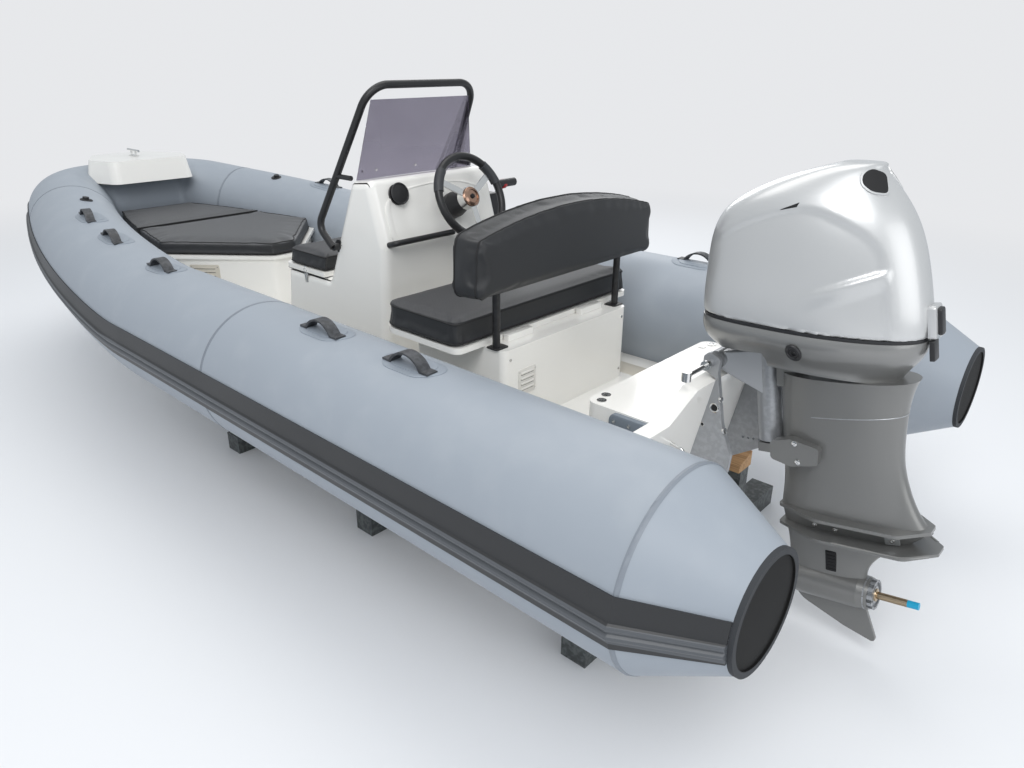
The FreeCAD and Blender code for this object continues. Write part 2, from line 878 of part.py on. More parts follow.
def build_strakes():
    """Ribbed rub strake between two flat dark bands, one moulding round the collar."""
    degrees_per_mm = math.degrees(1 / TUBE_RADIUS)
    total = d.StrakeLowerHeight + d.StrakeHeight + d.BandHeight
    low = d.StrakeCentreAngle - (d.StrakeHeight / 2 + d.StrakeLowerHeight) * degrees_per_mm
    high = low + total * degrees_per_mm
    ribs = [((d.StrakeLowerHeight + d.StrakeHeight * share) / total, d.StrakeBase + d.StrakeRib * rib)
            for share, rib in STRAKE_RIB_SHARES]
    strip = strip_along_collar(low, high, [(0, d.StrakeBase)] + ribs + [(1, d.StrakeBase)])
    feature("rub_strake", strip)


BOW_CENTRE_X = sheer_at(collar_plan(BOW_END_S, True)[0])[0]
COLLAR_FRONT_X = BOW_CENTRE_X + BOW_RADIUS
HANDLE_X_SHARES = (0.2175, 0.3020, 0.5295, 0.6440, 0.7250)


def handle_solid(station):
    """Arched strap on two feet, along the tube on its top."""
    half = d.HandleLength / 2
    foot = d.HandleFoot
    rise = d.HandleRise
    strap = d.HandleStrap
    inner = half - foot
    outline = [
        Part.LineSegment(Vector(-half, 0, 0), Vector(-half, 0, strap)),
        Part.LineSegment(Vector(-half, 0, strap), Vector(-inner - strap, 0, strap)),
        Part.Arc(Vector(-inner - strap, 0, strap), Vector(0, 0, rise), Vector(inner + strap, 0, strap)),
        Part.LineSegment(Vector(inner + strap, 0, strap), Vector(half, 0, strap)),
        Part.LineSegment(Vector(half, 0, strap), Vector(half, 0, 0)),
        Part.LineSegment(Vector(half, 0, 0), Vector(inner, 0, 0)),
        Part.Arc(Vector(inner, 0, 0), Vector(0, 0, rise - strap), Vector(-inner, 0, 0)),
        Part.LineSegment(Vector(-inner, 0, 0), Vector(-half, 0, 0)),
    ]
    wire = Part.Wire([g.toShape() for g in outline])
    strap_solid = prism(wire, Vector(0, d.HandleWidth, 0))
    strap_solid.translate(Vector(0, -d.HandleWidth / 2, 0))
    base = station.centre.add(Vector(station.up).multiply(station.radius + d.SeatGap))
    turn = Rotation(station.tangent, station.outward, station.up, "XZY")
    solid = strap_solid.copy()
    solid.Placement = Placement(base, turn)
    return solid


def build_handles():
    length = COLLAR_FRONT_X - d.TubeAftX
    solids = []
    for share in HANDLE_X_SHARES:
        x = d.TubeAftX + share * length
        solid = handle_solid(station_at(x))
        if x > d.SheerStartX - d.HandleLength:
            solid = solid.cut(forward_chamber(d.SeatGap))
            solid = max(solid.Solids, key=lambda s: s.Volume)
        solids += [solid, mirror_port(solid)]
    feature("tube_handles", Part.makeCompound(solids))


VALVE_LEAN_SHARES = (0.985, -0.17)


def build_valves():
    station = station_at(d.ValveX)
    lean = Vector(station.up).multiply(VALVE_LEAN_SHARES[0]).add(
        Vector(station.outward).multiply(VALVE_LEAN_SHARES[1]))
    lean.normalize()
    base = tuple(station.centre.add(Vector(lean).multiply(station.radius + d.SeatGap)))
    flange = bar("valve_flange", base, lean, d.ValveDiameter / 2, d.ValveHeight / 4)
    cap = bar("valve_cap", base, lean, d.ValveDiameter / 3, d.ValveHeight)
    valve = joined("valve", [flange, cap])
    keep(grouped("valves", [valve, mirrored("valve_starboard", valve)]), "inflation_valves")


# Hull: a deep V moulding with the transom, fitted under and between the tubes.

HULL_X_SHARES = (-1, 0, 0.25, 0.42, 0.54, 0.66, 0.81, 0.905, 0.965, 1)
HULL_KEEL_SHARES = (0, 0, 0, 0, 0.01, 0.06, 0.25, 0.53, 0.80, 1)
HULL_CHINE_SHARES = (1, 1, 1, 1, 0.995, 0.965, 0.80, 0.60, 0.42, 0.20)
HULL_CHINE_Z_SHARES = (0, 0, 0, 0, 0.03, 0.13, 0.49, 0.75, 0.88, 0.96)


def hull_top(x):
    if x <= d.HullSheerStartX:
        return d.HullTopZ
    share = (x - d.HullSheerStartX) / (d.HullBowX - d.HullSheerStartX)
    return d.HullTopZ + share * (d.HullBowTopZ - d.HullTopZ)


def build_hull(cutters):
    sections = []
    for x_share, keel, chine, chine_z in zip(HULL_X_SHARES, HULL_KEEL_SHARES, HULL_CHINE_SHARES,
                                             HULL_CHINE_Z_SHARES):
        x = d.HullBowX * x_share if x_share > 0 else d.HullAftOverrun * x_share
        keel_z = d.KeelZ + keel * (d.HullKeelBowZ - d.KeelZ)
        chine_height = d.ChineZ + chine_z * (d.HullChineBowZ - d.ChineZ)
        top = hull_top(x)
        chine_y = d.ChineHalf * chine
        side_y = chine_y + d.HullNoseFlare
        if x <= d.HullNoseX:
            side_y = max(tube_y(x) - d.HullSideInset, chine_y + d.HullFlare)
        half = [(0, keel_z), (chine_y, chine_height), (side_y, chine_height + d.ChineStep), (side_y, top)]
        points = half + [(-y, z) for y, z in reversed(half[1:])]
        sections.append(Part.makePolygon([Vector(x, y, z) for y, z in points + points[:1]]))
    aft = Part.makeLoft(sections[:4], True, True)
    fore = Part.makeLoft(sections[3:], True, False)
    hull = aft.fuse(fore)
    rake = Rotation(Vector(0, 1, 0), -d.TransomRake)
    foot = Placement(Vector(0, 0, d.KeelZ), rake)
    reach = d.TubeAftY + TUBE_RADIUS
    behind = box_between((-d.HullAftOverrun * 2, -reach, -reach), (0, reach, reach))
    behind.Placement = foot
    hull = hull.cut(behind)
    hull = cut_in_turn(hull.fuse(transom_board()), cutters)
    feature("hull", max(hull.Solids, key=lambda s: s.Volume))


def transom_board():
    """Raked board from the V of the hull to the engine notch, wide enough to meet the tubes."""
    rake = math.radians(d.TransomRake)
    up = lambda z: (z - d.KeelZ) / math.cos(rake)
    wide = d.TubeAftY - d.HullSideInset
    half = [(0, 0), (d.ChineHalf, up(d.ChineZ)), (wide, up(d.ChineZ)), (wide, up(d.TransomShoulderZ)),
            (d.TransomShoulderHalf, up(d.TransomShoulderZ)), (d.TransomTopHalf, up(d.TransomTopZ))]
    points = half + [(-y, z) for y, z in reversed(half[1:])]
    top_corners = [d.TransomCorner] * 4
    wire = rounded_outline(points, [0] * 4 + top_corners + [0] * 3, front(0))
    board = prism(wire, Vector(d.TransomThickness, 0, 0))
    board.Placement = Placement(Vector(0, 0, d.KeelZ), Rotation(Vector(0, 1, 0), -d.TransomRake))
    return board


def build_deck(cutters):
    reach = d.TubeAftY
    plate = box_between((-d.HullAftOverrun, -reach, d.HullTopZ),
                        (d.DeckFrontX, reach, d.HullTopZ + d.DeckThickness))
    rake = Rotation(Vector(0, 1, 0), -d.TransomRake)
    behind = box_between((-d.HullAftOverrun * 4, -reach, -reach), (d.TransomThickness, reach, reach * 2))
    behind.Placement = Placement(Vector(0, 0, d.KeelZ), rake)
    deck = cut_in_turn(plate.cut(behind), cutters)
    deck = deck.cut(solid_of("hull"))
    feature("deck", max(deck.Solids, key=lambda s: s.Volume))


def build_ledge():
    """Moulded ledge inside the transom, level with the transom's shoulders."""
    rake = math.tan(math.radians(d.TransomRake))
    floor = d.HullTopZ + d.DeckThickness + d.SeatGap
    face = d.TransomThickness / math.cos(math.radians(d.TransomRake)) + d.SeatGap * 2
    aft_low = face - (floor - d.KeelZ) * rake
    aft_high = face - (d.LedgeTopZ - d.KeelZ) * rake
    body = body_named("aft_ledge")
    sketch = sketch_on(body, "LedgeOutline", "XZ_Plane",
                       [(aft_low, floor), (d.LedgeFrontX, floor), (d.LedgeFrontX, d.LedgeTopZ),
                        (aft_high, d.LedgeTopZ)], -d.LedgeHalf)
    ledge = pad_on(body, sketch, d.LedgeHalf * 2)
    ledge = fillet_on(body, ledge, d.LedgeCorner,
                      lambda e: upright(e) and e.CenterOfMass.x > d.LedgeFrontX - d.LedgeCorner)
    keep(body, "aft_ledge")


EDGE_SAMPLES = 60
EDGE_POINTS = 7


def tube_edge(x, low_z, high_z, gap):
    """Half width between the tubes at a station, for a piece between two heights."""
    last = None
    for i in range(EDGE_SAMPLES + 1):
        station = collar_station(SIDE_LENGTH * i / EDGE_SAMPLES, True)
        level = station.centre.z
        off = max(0, low_z - level, level - high_z)
        reach = math.sqrt(station.radius ** 2 - off ** 2) + gap
        point = station.centre.sub(Vector(station.outward).multiply(reach))
        if point.x >= x and last is not None:
            share = (x - last.x) / (point.x - last.x)
            return last.y + share * (point.y - last.y)
        last = point
    return last.y


def between_tubes(aft, front_x, low_z, high_z, gap, radius):
    """Slab between the tubes: its aft outline is given for one half, its sides follow the tubes."""
    start_x = aft[-1]
    port = [Vector(x, y, low_z) for x, y in aft[:-1]]
    xs = [start_x + (front_x - start_x) * i / (EDGE_POINTS - 1) for i in range(EDGE_POINTS)]
    rail = [Vector(x, tube_edge(x, low_z, high_z, gap), low_z) for x in xs]
    spline = Part.BSplineCurve()
    spline.interpolate(rail)
    mirrored = Part.BSplineCurve()
    mirrored.interpolate([flip_side(v) for v in rail])
    corners = port + [rail[0]]
    edges = [Part.LineSegment(corners[i], corners[i + 1]).toShape() for i in range(len(corners) - 1)]
    edges.append(spline.toShape())
    edges.append(Part.LineSegment(rail[-1], flip_side(rail[-1])).toShape())
    edges.append(mirrored.toShape())
    edges += [Part.LineSegment(flip_side(corners[i]), flip_side(corners[i + 1])).toShape()
              for i in range(len(corners) - 1)]
    edges.append(Part.LineSegment(corners[0], flip_side(corners[0])).toShape())
    slab = prism(Part.Wire(Part.__sortEdges__(edges)), Vector(0, 0, high_z - low_z))
    if radius:
        posts = [e for e in slab.Edges if e.BoundBox.ZLength > (high_z - low_z) / 2
                 and e.BoundBox.XLength < d.SeatGap and e.CenterOfMass.x < start_x - d.SeatGap]
        slab = slab.makeFillet(radius, posts)
    return slab


def build_bow_locker():
    top_z = d.LockerTopZ - d.LockerRimHeight
    base_z = d.HullTopZ + d.DeckThickness / 2
    gap, lip, wall = d.LockerTubeGap, d.LockerRimLip, d.LockerWall
    apex = lambda out: [(d.LockerApexX - out, d.LockerApexHalf), d.LockerSideX - out]
    front = d.LockerFrontX
    corner = d.LockerCorner
    outer = between_tubes(apex(0), front, base_z, top_z, gap + lip, corner)
    inner = between_tubes(apex(-wall), front - wall, base_z, top_z - wall, gap + lip + wall, corner - wall)
    rim = between_tubes(apex(lip), front, top_z, d.LockerTopZ, gap, corner + lip)
    locker = outer.cut(inner).fuse(rim)
    locker = locker.cut([solid_of("hull"), solid_of("deck")])
    feature("bow_locker", max(locker.Solids, key=lambda s: s.Volume))

    inset = d.BowCushionInset
    low = d.LockerTopZ + d.SeatGap
    high = low + d.CushionThickness
    joint, split = d.BowCushionJointX, d.BowCushionSplit / 2
    feature("bow_cushion_main", between_tubes(apex(split), joint - split, low, high, inset, d.CushionCorner))
    feature("bow_cushion_front", between_tubes([joint + split], front - inset, low, high, inset, 0))


def build_bow_step(cutters):
    top_inset = d.StepTopInset

    def ring(grow, z):
        half = [(d.StepAftX - grow, d.StepAftHalf + grow * 0.4), (d.StepSideX, d.StepSideHalf + grow),
                (d.StepFrontX + grow, d.StepFrontHalf + grow)]
        points = half + [(x, -y) for x, y in reversed(half)]
        return rounded_outline(points, d.StepCorner, plan(z))

    body = Part.makeLoft([ring(0, d.StepBottomZ), ring(-top_inset, d.StepTopZ)], True, True)
    body = cut_in_turn(body, cutters)
    body = max(body.Solids, key=lambda s: s.CenterOfMass.z * s.Volume)
    feature("bow_step", body)

    centre_x = (d.StepAftX + d.StepFrontX) / 2
    half = d.CleatLength / 2
    rod_size = d.CleatBar
    foot = d.StepTopZ + d.SeatGap
    base = block("cleat_base", (centre_x - half / 2, -rod_size, foot), (centre_x + half / 2, rod_size,
                                                                      foot + rod_size / 3))
    horns = bar("cleat_horns", (centre_x - half, 0, d.StepTopZ + d.CleatRise), FORWARD, rod_size / 2,
                d.CleatLength)
    legs = [bar("cleat_leg_" + name, (centre_x + side_x, 0, foot), UPWARD, rod_size / 2.4,
                d.CleatRise - d.SeatGap) for name, side_x in (("aft", -half / 2.6), ("fore", half / 2.6))]
    keep(joined("cleat", [base, horns] + legs), "bow_cleat")


# Console: hollow moulding with the dash at its aft face and a seat on its front.

CONSOLE_FRONT_X = d.ConsoleKneeX + d.ConsoleSeatLength
CONSOLE_CORNER_SHARES = (0, 0.6, 0.7, 0.9, 0.4, 0.5, 0)


def console_profile(shrink, drop=0):
    w = shrink
    points = [(d.ConsoleAftX + w, d.HullTopZ + d.DeckThickness - drop), (d.DashLowX + w, d.DashLowZ),
              (d.DashTopX + w, d.DashTopZ - w), (d.ConsoleBrowX - w * 0.5, d.ConsoleBrowZ - w),
              (d.ConsoleKneeX - w, d.ConsoleSeatZ - w), (CONSOLE_FRONT_X - w, d.ConsoleSeatZ - w),
              (d.ConsoleKneeX + d.ConsoleFootLength - w, d.HullTopZ + d.DeckThickness - drop)]
    corners = [d.ConsoleCorner * share for share in CONSOLE_CORNER_SHARES]
    return rounded_outline(points, corners, side(-(d.ConsoleHalf - w)))


def build_console():
    width = 2 * d.ConsoleHalf
    wall = d.ConsoleWall
    outer = prism(console_profile(0), Vector(0, width, 0))
    long_edges = [e for e in outer.Edges if e.BoundBox.YLength < wall / 4
                  and e.BoundBox.ZLength > d.ConsoleCorner and e.BoundBox.XMax < d.ConsoleBrowX - wall]
    outer = outer.makeFillet(d.ConsoleCorner, long_edges)
    inner = prism(console_profile(wall, d.CutOverrun), Vector(0, width - 2 * wall, 0))
    margin, side_margin = d.HatchMargin, d.HatchSideMargin
    over, half = d.CutOverrun, d.ConsoleHalf - side_margin
    hatch = box_between((d.ConsoleKneeX + margin, -half, d.ConsoleSeatZ - over),
                        (CONSOLE_FRONT_X - margin, half, d.ConsoleSeatZ + over))
    feature("console", outer.cut([inner, hatch]))


def build_console_seat():
    low = d.ConsoleSeatZ + d.SeatGap
    lip = d.ConsoleLidLip
    aft = d.ConsoleKneeX + d.ConsoleLidGap
    fore = CONSOLE_FRONT_X + lip
    half = d.ConsoleHalf + lip / 2
    slab_body("console_seat_lid", aft, fore, half, low, d.ConsoleLidHeight, d.LidCornerAft, d.LidCornerFront)
    inset = d.ConsoleCushionInset
    slab_body("console_cushion", aft, fore - inset, half - inset, low + d.ConsoleLidHeight + d.SeatGap,
              d.ConsoleCushionThickness, d.ConsoleCushionCornerAft, d.LidCornerFront + inset)


def build_screen():
    """Bent clear sheet: a trapezoid between two creases, with a triangular wing each side."""
    t = d.ScreenThickness
    foot_z, top_z = d.ScreenFootZ, d.ScreenTopZ
    crease_low = Vector(d.ScreenCreaseX, d.ScreenCreaseHalf, foot_z + d.ScreenFootLift)
    foot = Vector(d.ScreenFootX, d.ScreenFootHalf, foot_z + d.ScreenWingLift)
    top = Vector(d.ScreenTopX, d.ScreenTopHalf, top_z)

    def panel(points, direction):
        face = Part.Face(Part.makePolygon(points + points[:1]))
        return face.extrude(direction)

    middle = panel([crease_low, top, flip_side(top), flip_side(crease_low)], Vector(t, 0, 0))
    wing = panel([foot, top, crease_low], Vector(t, 0, 0))
    feature("windscreen", middle.fuse([wing, mirror_port(wing)]))


HOOP_STAY_SHARE = 0.38


def build_hoop():
    top_y, side_y = d.HoopTopHalf, d.HoopHalf
    top_z = d.ConsoleBrowZ + d.HoopTopRise
    port = [(d.HoopEndX, side_y, d.HoopEndZ), (d.HoopKneeX, side_y, d.HoopKneeZ), (d.HoopTopX, top_y, top_z)]
    path = port + [(x, -y, z) for x, y, z in reversed(port)]
    corners = [d.HoopLowCorner, d.HoopCorner, d.HoopCorner, d.HoopLowCorner]
    rail = round_pipe(path, d.HoopTube, corners)
    feet = []
    for sign in (1, -1):
        feet.append(rod(Vector(d.HoopEndX, sign * side_y, d.HoopEndZ),
                        Vector(d.HoopEndX, sign * (d.ConsoleHalf + d.SeatGap), d.HoopEndZ), d.HoopTube / 2))
        x = d.HoopKneeX + (d.HoopTopX - d.HoopKneeX) * HOOP_STAY_SHARE
        z = d.HoopKneeZ + (top_z - d.HoopKneeZ) * HOOP_STAY_SHARE
        y = side_y + (top_y - side_y) * HOOP_STAY_SHARE
        feet.append(rod(Vector(x, sign * y, z), Vector(x - d.HoopStay, sign * y, z), d.HoopTube / 3))
    feature("hoop_rail", rail.fuse(feet))


def dash_frame(y, z):
    """Placement on the dash face at a height, with its Z pointing out of the face to the helm."""
    slope = math.atan2(d.DashTopX - d.DashLowX, d.DashTopZ - d.DashLowZ)
    x = d.DashLowX + (z - d.DashLowZ) * math.tan(slope)
    out = Vector(-math.cos(slope), 0, math.sin(slope))
    return Vector(x, y, z), out


def build_dash_fittings():
    base, out = dash_frame(d.GaugeY, d.GaugeZ)
    base = base.add(Vector(out).multiply(d.SeatGap))
    keep(bar("gauge", tuple(base), out, d.GaugeDiameter / 2, d.GaugeDepth), "dash_gauge")
    bar_base, bar_out = dash_frame(0, d.GrabBarZ)
    radius = d.GrabBarDiameter / 2
    away = Vector(bar_out).multiply(d.GrabBarStand)
    port = Vector(bar_base.x, d.GrabBarPortY, bar_base.z)
    starboard = Vector(bar_base.x, d.GrabBarStarboardY, bar_base.z)
    lift = Vector(bar_out).multiply(d.SeatGap)
    corner = radius * 1.3
    rail = round_pipe([tuple(port.add(lift)), tuple(port.add(away)), tuple(starboard.add(away)),
                       tuple(starboard.add(lift))], d.GrabBarDiameter, [corner, corner])
    feature("grab_bar", rail)


WHEEL_AXIS = Vector(-math.cos(math.radians(d.WheelTilt)), 0, math.sin(math.radians(d.WheelTilt)))
WHEEL_CENTRE = Vector(d.WheelX, d.WheelY, d.WheelZ)
WHEEL_PLACE = Placement(WHEEL_CENTRE, Rotation(Vector(0, 0, 1), WHEEL_AXIS))


SPOKE_ANGLES = (60, 180, 300)


def build_wheel():
    rim_radius = (d.WheelDiameter - d.WheelRim) / 2
    rims = []
    for name in ("wheel_rim", "wheel_rim_space"):
        rim = doc.addObject("Part::Torus", name)
        rims.append(bind(rim, Radius1=rim_radius, Radius2=d.WheelRim / 2))
    pieces = [bar("wheel_hub", (0, 0, -d.HubDepth), UPWARD, d.HubDiameter / 2, d.HubDepth)]
    for angle in SPOKE_ANGLES:
        spoke = doc.addObject("Part::Box", "wheel_spoke_%d" % angle)
        turn = Rotation(UPWARD, angle)
        spoke.Placement = Placement(turn.multVec(Vector(0, -d.SpokeWidth / 2, -d.SpokeThickness)), turn)
        pieces.append(bind(spoke, Length=rim_radius, Width=d.SpokeWidth, Height=d.SpokeThickness))
    spider = less("wheel_spider", joined("wheel_arms", pieces), rims[1])
    doc.recompute()
    for obj, label in ((rims[0], "steering_wheel_rim"), (spider, "steering_wheel_hub")):
        obj.Placement = WHEEL_PLACE
        keep(obj, label)
    build_helm_bezel()


def build_helm_bezel():
    """Helm housing between the dash and the hub."""
    length = d.HelmHousing
    bezel = Part.makeCone(d.BezelDiameter / 2, d.HubDiameter / 2 * 0.8, length,
                          Vector(0, 0, -d.HubDepth - d.RunningGap - length))
    bezel.Placement = WHEEL_PLACE
    low = -d.HubDepth - length - d.HelmReach
    reach = Part.makeCylinder(d.BezelDiameter / 2, d.HelmReach, Vector(0, 0, low))
    reach.Placement = WHEEL_PLACE
    bezel = bezel.fuse(reach).cut(solid_of("console"))
    bezel = min(bezel.Solids, key=lambda s: s.CenterOfMass.x)
    feature("helm_bezel", bezel)


THROTTLE_TIP_SHARES = (-0.55, 0.62)


def build_throttle():
    """Side mounted control: housing, hub, lever and a crosswise grip."""
    y = -(d.ConsoleHalf + d.SeatGap)
    face = y - d.ThrottleBoxDepth
    half_x, half_z = d.ThrottleBoxLength / 2, d.ThrottleBoxHeight / 2
    housing = block("throttle_housing", (d.ThrottleX - half_x, face, d.ThrottleZ - half_z),
                    (d.ThrottleX + half_x, y, d.ThrottleZ + half_z))
    doc.recompute()
    rounded = doc.addObject("Part::Fillet", "throttle_housing_rounded")
    rounded.Base = housing
    crosswise = [i + 1 for i, e in enumerate(housing.Shape.Edges) if e.BoundBox.YLength > half_z / 2]
    rounded.Edges = [(i, float(d.ThrottleCorner), float(d.ThrottleCorner)) for i in crosswise]
    pivot = (d.ThrottleX, face - d.ThrottleHubDepth, d.ThrottleZ)
    hub = bar("throttle_hub", pivot, TO_PORT, d.ThrottleHub / 2, d.ThrottleHubDepth)
    reach = Vector(d.ThrottleLeverLength * THROTTLE_TIP_SHARES[0], -d.ThrottleLean,
                   d.ThrottleLeverLength * THROTTLE_TIP_SHARES[1])
    lever = bar("throttle_lever", pivot, reach, d.ThrottleLever / 2, reach.Length)
    tip = Vector(*pivot).add(reach)
    grip_y = tip.y - d.ThrottleKnobLength * 0.6
    grip = bar("throttle_grip", (tip.x, grip_y, tip.z), TO_PORT, d.ThrottleKnob / 2, d.ThrottleKnobLength)
    keep(joined("throttle", [rounded, hub, lever, grip]), "throttle_control")


# Helm seat: hollow box, hinged lid with its cushion, and a backrest on two posts.

BACKREST_CROWN_SHARE = 0.87


def build_helm_seat():
    floor = d.HullTopZ + d.DeckThickness
    wall = d.SeatWall
    body = body_named("helm_seat_box")
    outline = sketch_on(body, "SeatBoxOutline", "XY_Plane",
                        rectangle(d.SeatAftX, d.SeatFrontX, d.SeatHalf), floor)
    outer = pad_on(body, outline, d.SeatTopZ - floor)
    fillet_on(body, outer, d.SeatCorner, upright)
    pocket_up(body, sketch_on(body, "SeatBoxSpace", "XY_Plane",
                              rectangle(d.SeatAftX + wall, d.SeatFrontX - wall, d.SeatHalf - wall), floor),
              d.SeatTopZ - floor - wall)
    pocket_up(body, sketch_on(body, "SeatBoxHatch", "XY_Plane",
                              rectangle(d.SeatLidAftX + d.SeatHatchAft, d.SeatFrontX - d.SeatHatchFront,
                                        d.SeatHalf - d.SeatHatchSide), d.SeatTopZ - wall * 2), wall * 3)
    keep(body, "helm_seat_box")

    low = d.SeatTopZ + d.SeatGap
    inset = d.SeatLidInset
    slab_body("helm_seat_lid", d.SeatLidAftX, d.SeatLidFrontX - inset, d.SeatCushionHalf - inset, low,
              d.SeatLidHeight, d.SeatLidCornerAft, d.SeatLidCornerFront)
    slab_body("helm_cushion", d.SeatLidAftX, d.SeatLidFrontX, d.SeatCushionHalf,
              low + d.SeatLidHeight + d.SeatGap, d.SeatCushionThickness, d.SeatLidCornerAft + inset,
              d.SeatLidCornerFront + inset)

    build_seat_hinges()

    height = d.BackrestBottomZ - d.SeatGap - low
    posts = [bar("post_" + name, (d.PostX, y, low), UPWARD, d.PostDiameter / 2, height)
             for name, y in (("port", d.PostHalf), ("starboard", -d.PostHalf))]
    keep(grouped("posts", posts), "backrest_posts")

    low, side_z, half = d.BackrestBottomZ, d.BackrestSideZ, d.BackrestHalf
    shoulder = half - d.BackrestTaper
    crown_radius = shoulder * shoulder / (d.BackrestApexZ - side_z) * BACKREST_CROWN_SHARE
    body = body_named("backrest")
    points = [(-half, low), (half, low), (shoulder, side_z), (0, d.BackrestApexZ), (-shoulder, side_z)]
    outline = sketch_on(body, "BackrestOutline", "YZ_Plane", points, d.BackrestAftX)
    pad = pad_on(body, outline, d.BackrestThickness)
    lengthwise = lambda e: e.BoundBox.XLength > d.BackrestThickness / 2
    middle_z = (side_z + d.BackrestApexZ) / 2
    pad = fillet_on(body, pad, d.BackrestCorner, lambda e: lengthwise(e) and e.CenterOfMass.z < middle_z)
    fillet_on(body, pad, crown_radius, lambda e: lengthwise(e) and e.CenterOfMass.z > middle_z)
    keep(body, "backrest")


def build_seat_hinges():
    """Long hinge pins: across the front of the helm seat box, and along the console's starboard edge."""
    radius, inset = d.HingePinDiameter / 2, d.HingePinInset
    off = radius + d.SeatGap
    half = d.SeatHalf - inset
    helm_z = d.SeatTopZ + d.SeatGap - off
    helm = bar("hinge_helm", (d.SeatFrontX + off, -half, helm_z), TO_PORT, radius, half * 2)
    aft = d.ConsoleKneeX + d.ConsoleLidGap + inset
    console = bar("hinge_console", (aft, -(d.ConsoleHalf + off), d.ConsoleSeatZ + d.SeatGap - off), FORWARD,
                  radius, CONSOLE_FRONT_X - inset - aft)
    keep(grouped("hinges", [helm, console]), "seat_hinges")


def build_transom_fittings():
    rake = Rotation(Vector(0, 1, 0), -d.TransomRake)
    foot = Placement(Vector(0, 0, d.KeelZ), rake)
    low, high = d.EyeHeight - d.EyeRadius, d.EyeHeight + d.EyeRadius
    stand = -d.EyeRadius * 2
    eyes = []
    for y in (d.EyeHalf, -d.EyeHalf):
        corners = [(-d.SeatGap, y, low), (stand, y, low), (stand, y, high), (-d.SeatGap, y, high)]
        eyes.append(round_pipe(corners, d.EyeRod, d.EyeRadius * 0.8))
    eyes = Part.makeCompound(eyes)
    eyes.Placement = foot
    feature("towing_eyes", eyes)

    start = d.TiltTubeHalf + d.SeatGap
    ram = bar("ram_rod", (d.TiltAxisX, start, d.TiltAxisZ), TO_PORT, d.RamDiameter / 2, d.RamLength)
    nut = bar("ram_nut", (d.TiltAxisX, start, d.TiltAxisZ), TO_PORT, d.RamNut / 2, d.RamNutLength)
    eye_place = (d.TiltAxisX, start + d.RamLength, d.TiltAxisZ - d.RamDiameter)
    eye = bar("ram_eye", eye_place, UPWARD, d.RamDiameter, d.RamDiameter * 2)
    keep(joined("ram", [ram, nut, eye]), "steering_ram")


# Outboard engine, in its own frame: the tilt axis is the origin and the leg is upright.

ENGINE_PLACE = Placement(Vector(d.TiltAxisX, 0, d.TiltAxisZ), Rotation(Vector(0, 1, 0), d.TrimOut))


BRACKET_CORNER_SHARES = (0.9, 0.9, 0, 1.1, 1.5, 2.6, 2.6, 6.6, 1.1, 1.5, 1.5)
BRACKET_HOLES = 4
BRACKET_HOLE_SHARE = 0.16


def build_clamp_bracket():
    rake = math.radians(d.TransomRake)
    place = Placement(Vector(d.TiltAxisX, 0, d.TiltAxisZ), Rotation(Vector(0, 1, 0), -d.TransomRake))
    dx, dz = d.TiltAxisX, d.TiltAxisZ - d.KeelZ
    face_x = -(dx * math.cos(rake) + dz * math.sin(rake)) - d.SeatGap
    boss = d.TiltTubeDiameter * d.BracketBossShare
    low = -d.BracketLength
    points = [(boss * 0.9, boss * 0.4), (boss * 0.7, -boss * 0.9), (face_x, -boss * 1.3), (face_x, low),
              (face_x - d.BracketToe, low - boss / 5),
              (face_x - d.BracketHeelX, low + d.BracketHeelZ),
              (face_x - d.BracketBackX, low + d.BracketBackZ),
              (face_x - d.BracketWaistX, low + d.BracketWaistZ),
              (-boss, -boss * 0.6), (-boss * 0.8, boss * 0.8), (boss * 0.5, boss)]
    corners = [d.BracketCorner * share for share in BRACKET_CORNER_SHARES]
    outline = rounded_outline(points, corners, side(0))
    plates = []
    for y in (d.BracketHalf - d.BracketPlate, -d.BracketHalf):
        plate = prism(outline, Vector(0, d.BracketPlate, 0))
        plate.translate(Vector(0, y, 0))
        for i in range(BRACKET_HOLES):
            along = i / (BRACKET_HOLES - 1)
            x = face_x - d.BracketHeelX * (1 - BRACKET_HOLE_SHARE) + along * boss * 1.7
            z = low + d.BracketHeelZ + d.BracketHole * 2 - along * boss * 0.7
            plate = plate.cut(rod(Vector(x, y - d.CutOverrun, z), Vector(x, y + d.CutOverrun, z),
                                  d.BracketHole / 2))
        plates.append(plate)
    tube = rod(Vector(0, -d.TiltTubeHalf, 0), Vector(0, d.TiltTubeHalf, 0), d.TiltTubeDiameter / 2)
    bracket = plates[0].fuse([plates[1], tube])
    feature("clamp_bracket", bracket, place)


def build_swivel_bracket():
    bore = d.TiltTubeDiameter / 2 + d.RunningGap
    half = d.SwivelHalf
    boss = rod(Vector(0, -half, 0), Vector(0, half, 0), d.TiltTubeDiameter * 1.1)
    tube = rod(Vector(d.SwivelX, 0, d.SwivelBottomZ), Vector(d.SwivelX, 0, d.SwivelTopZ),
               d.SwivelTubeDiameter / 2)
    web_half = d.SwivelTubeDiameter * 0.45
    top, deep = d.SwivelArmTop, d.SwivelArmDepth
    arm = Part.makeLoft([
        rounded_outline([(-half, -top), (half, -top), (half, top), (-half, top)], d.SwivelArmRound, front(0)),
        rounded_outline([(-web_half, -deep), (web_half, -deep), (web_half, top), (-web_half, top)],
                        d.SwivelArmRound, front(d.SwivelX)),
    ], True, True)
    body = boss.fuse([tube, arm])
    over = d.CutOverrun
    tilt_bore = rod(Vector(0, -half - over, 0), Vector(0, half + over, 0), bore)
    swivel_bore = rod(Vector(d.SwivelX, 0, d.SwivelBottomZ - over), Vector(d.SwivelX, 0, d.SwivelTopZ + over),
                      d.SwivelShaftDiameter / 2 + d.RunningGap)
    body = body.cut([tilt_bore, swivel_bore])
    feature("swivel_bracket", body, ENGINE_PLACE)


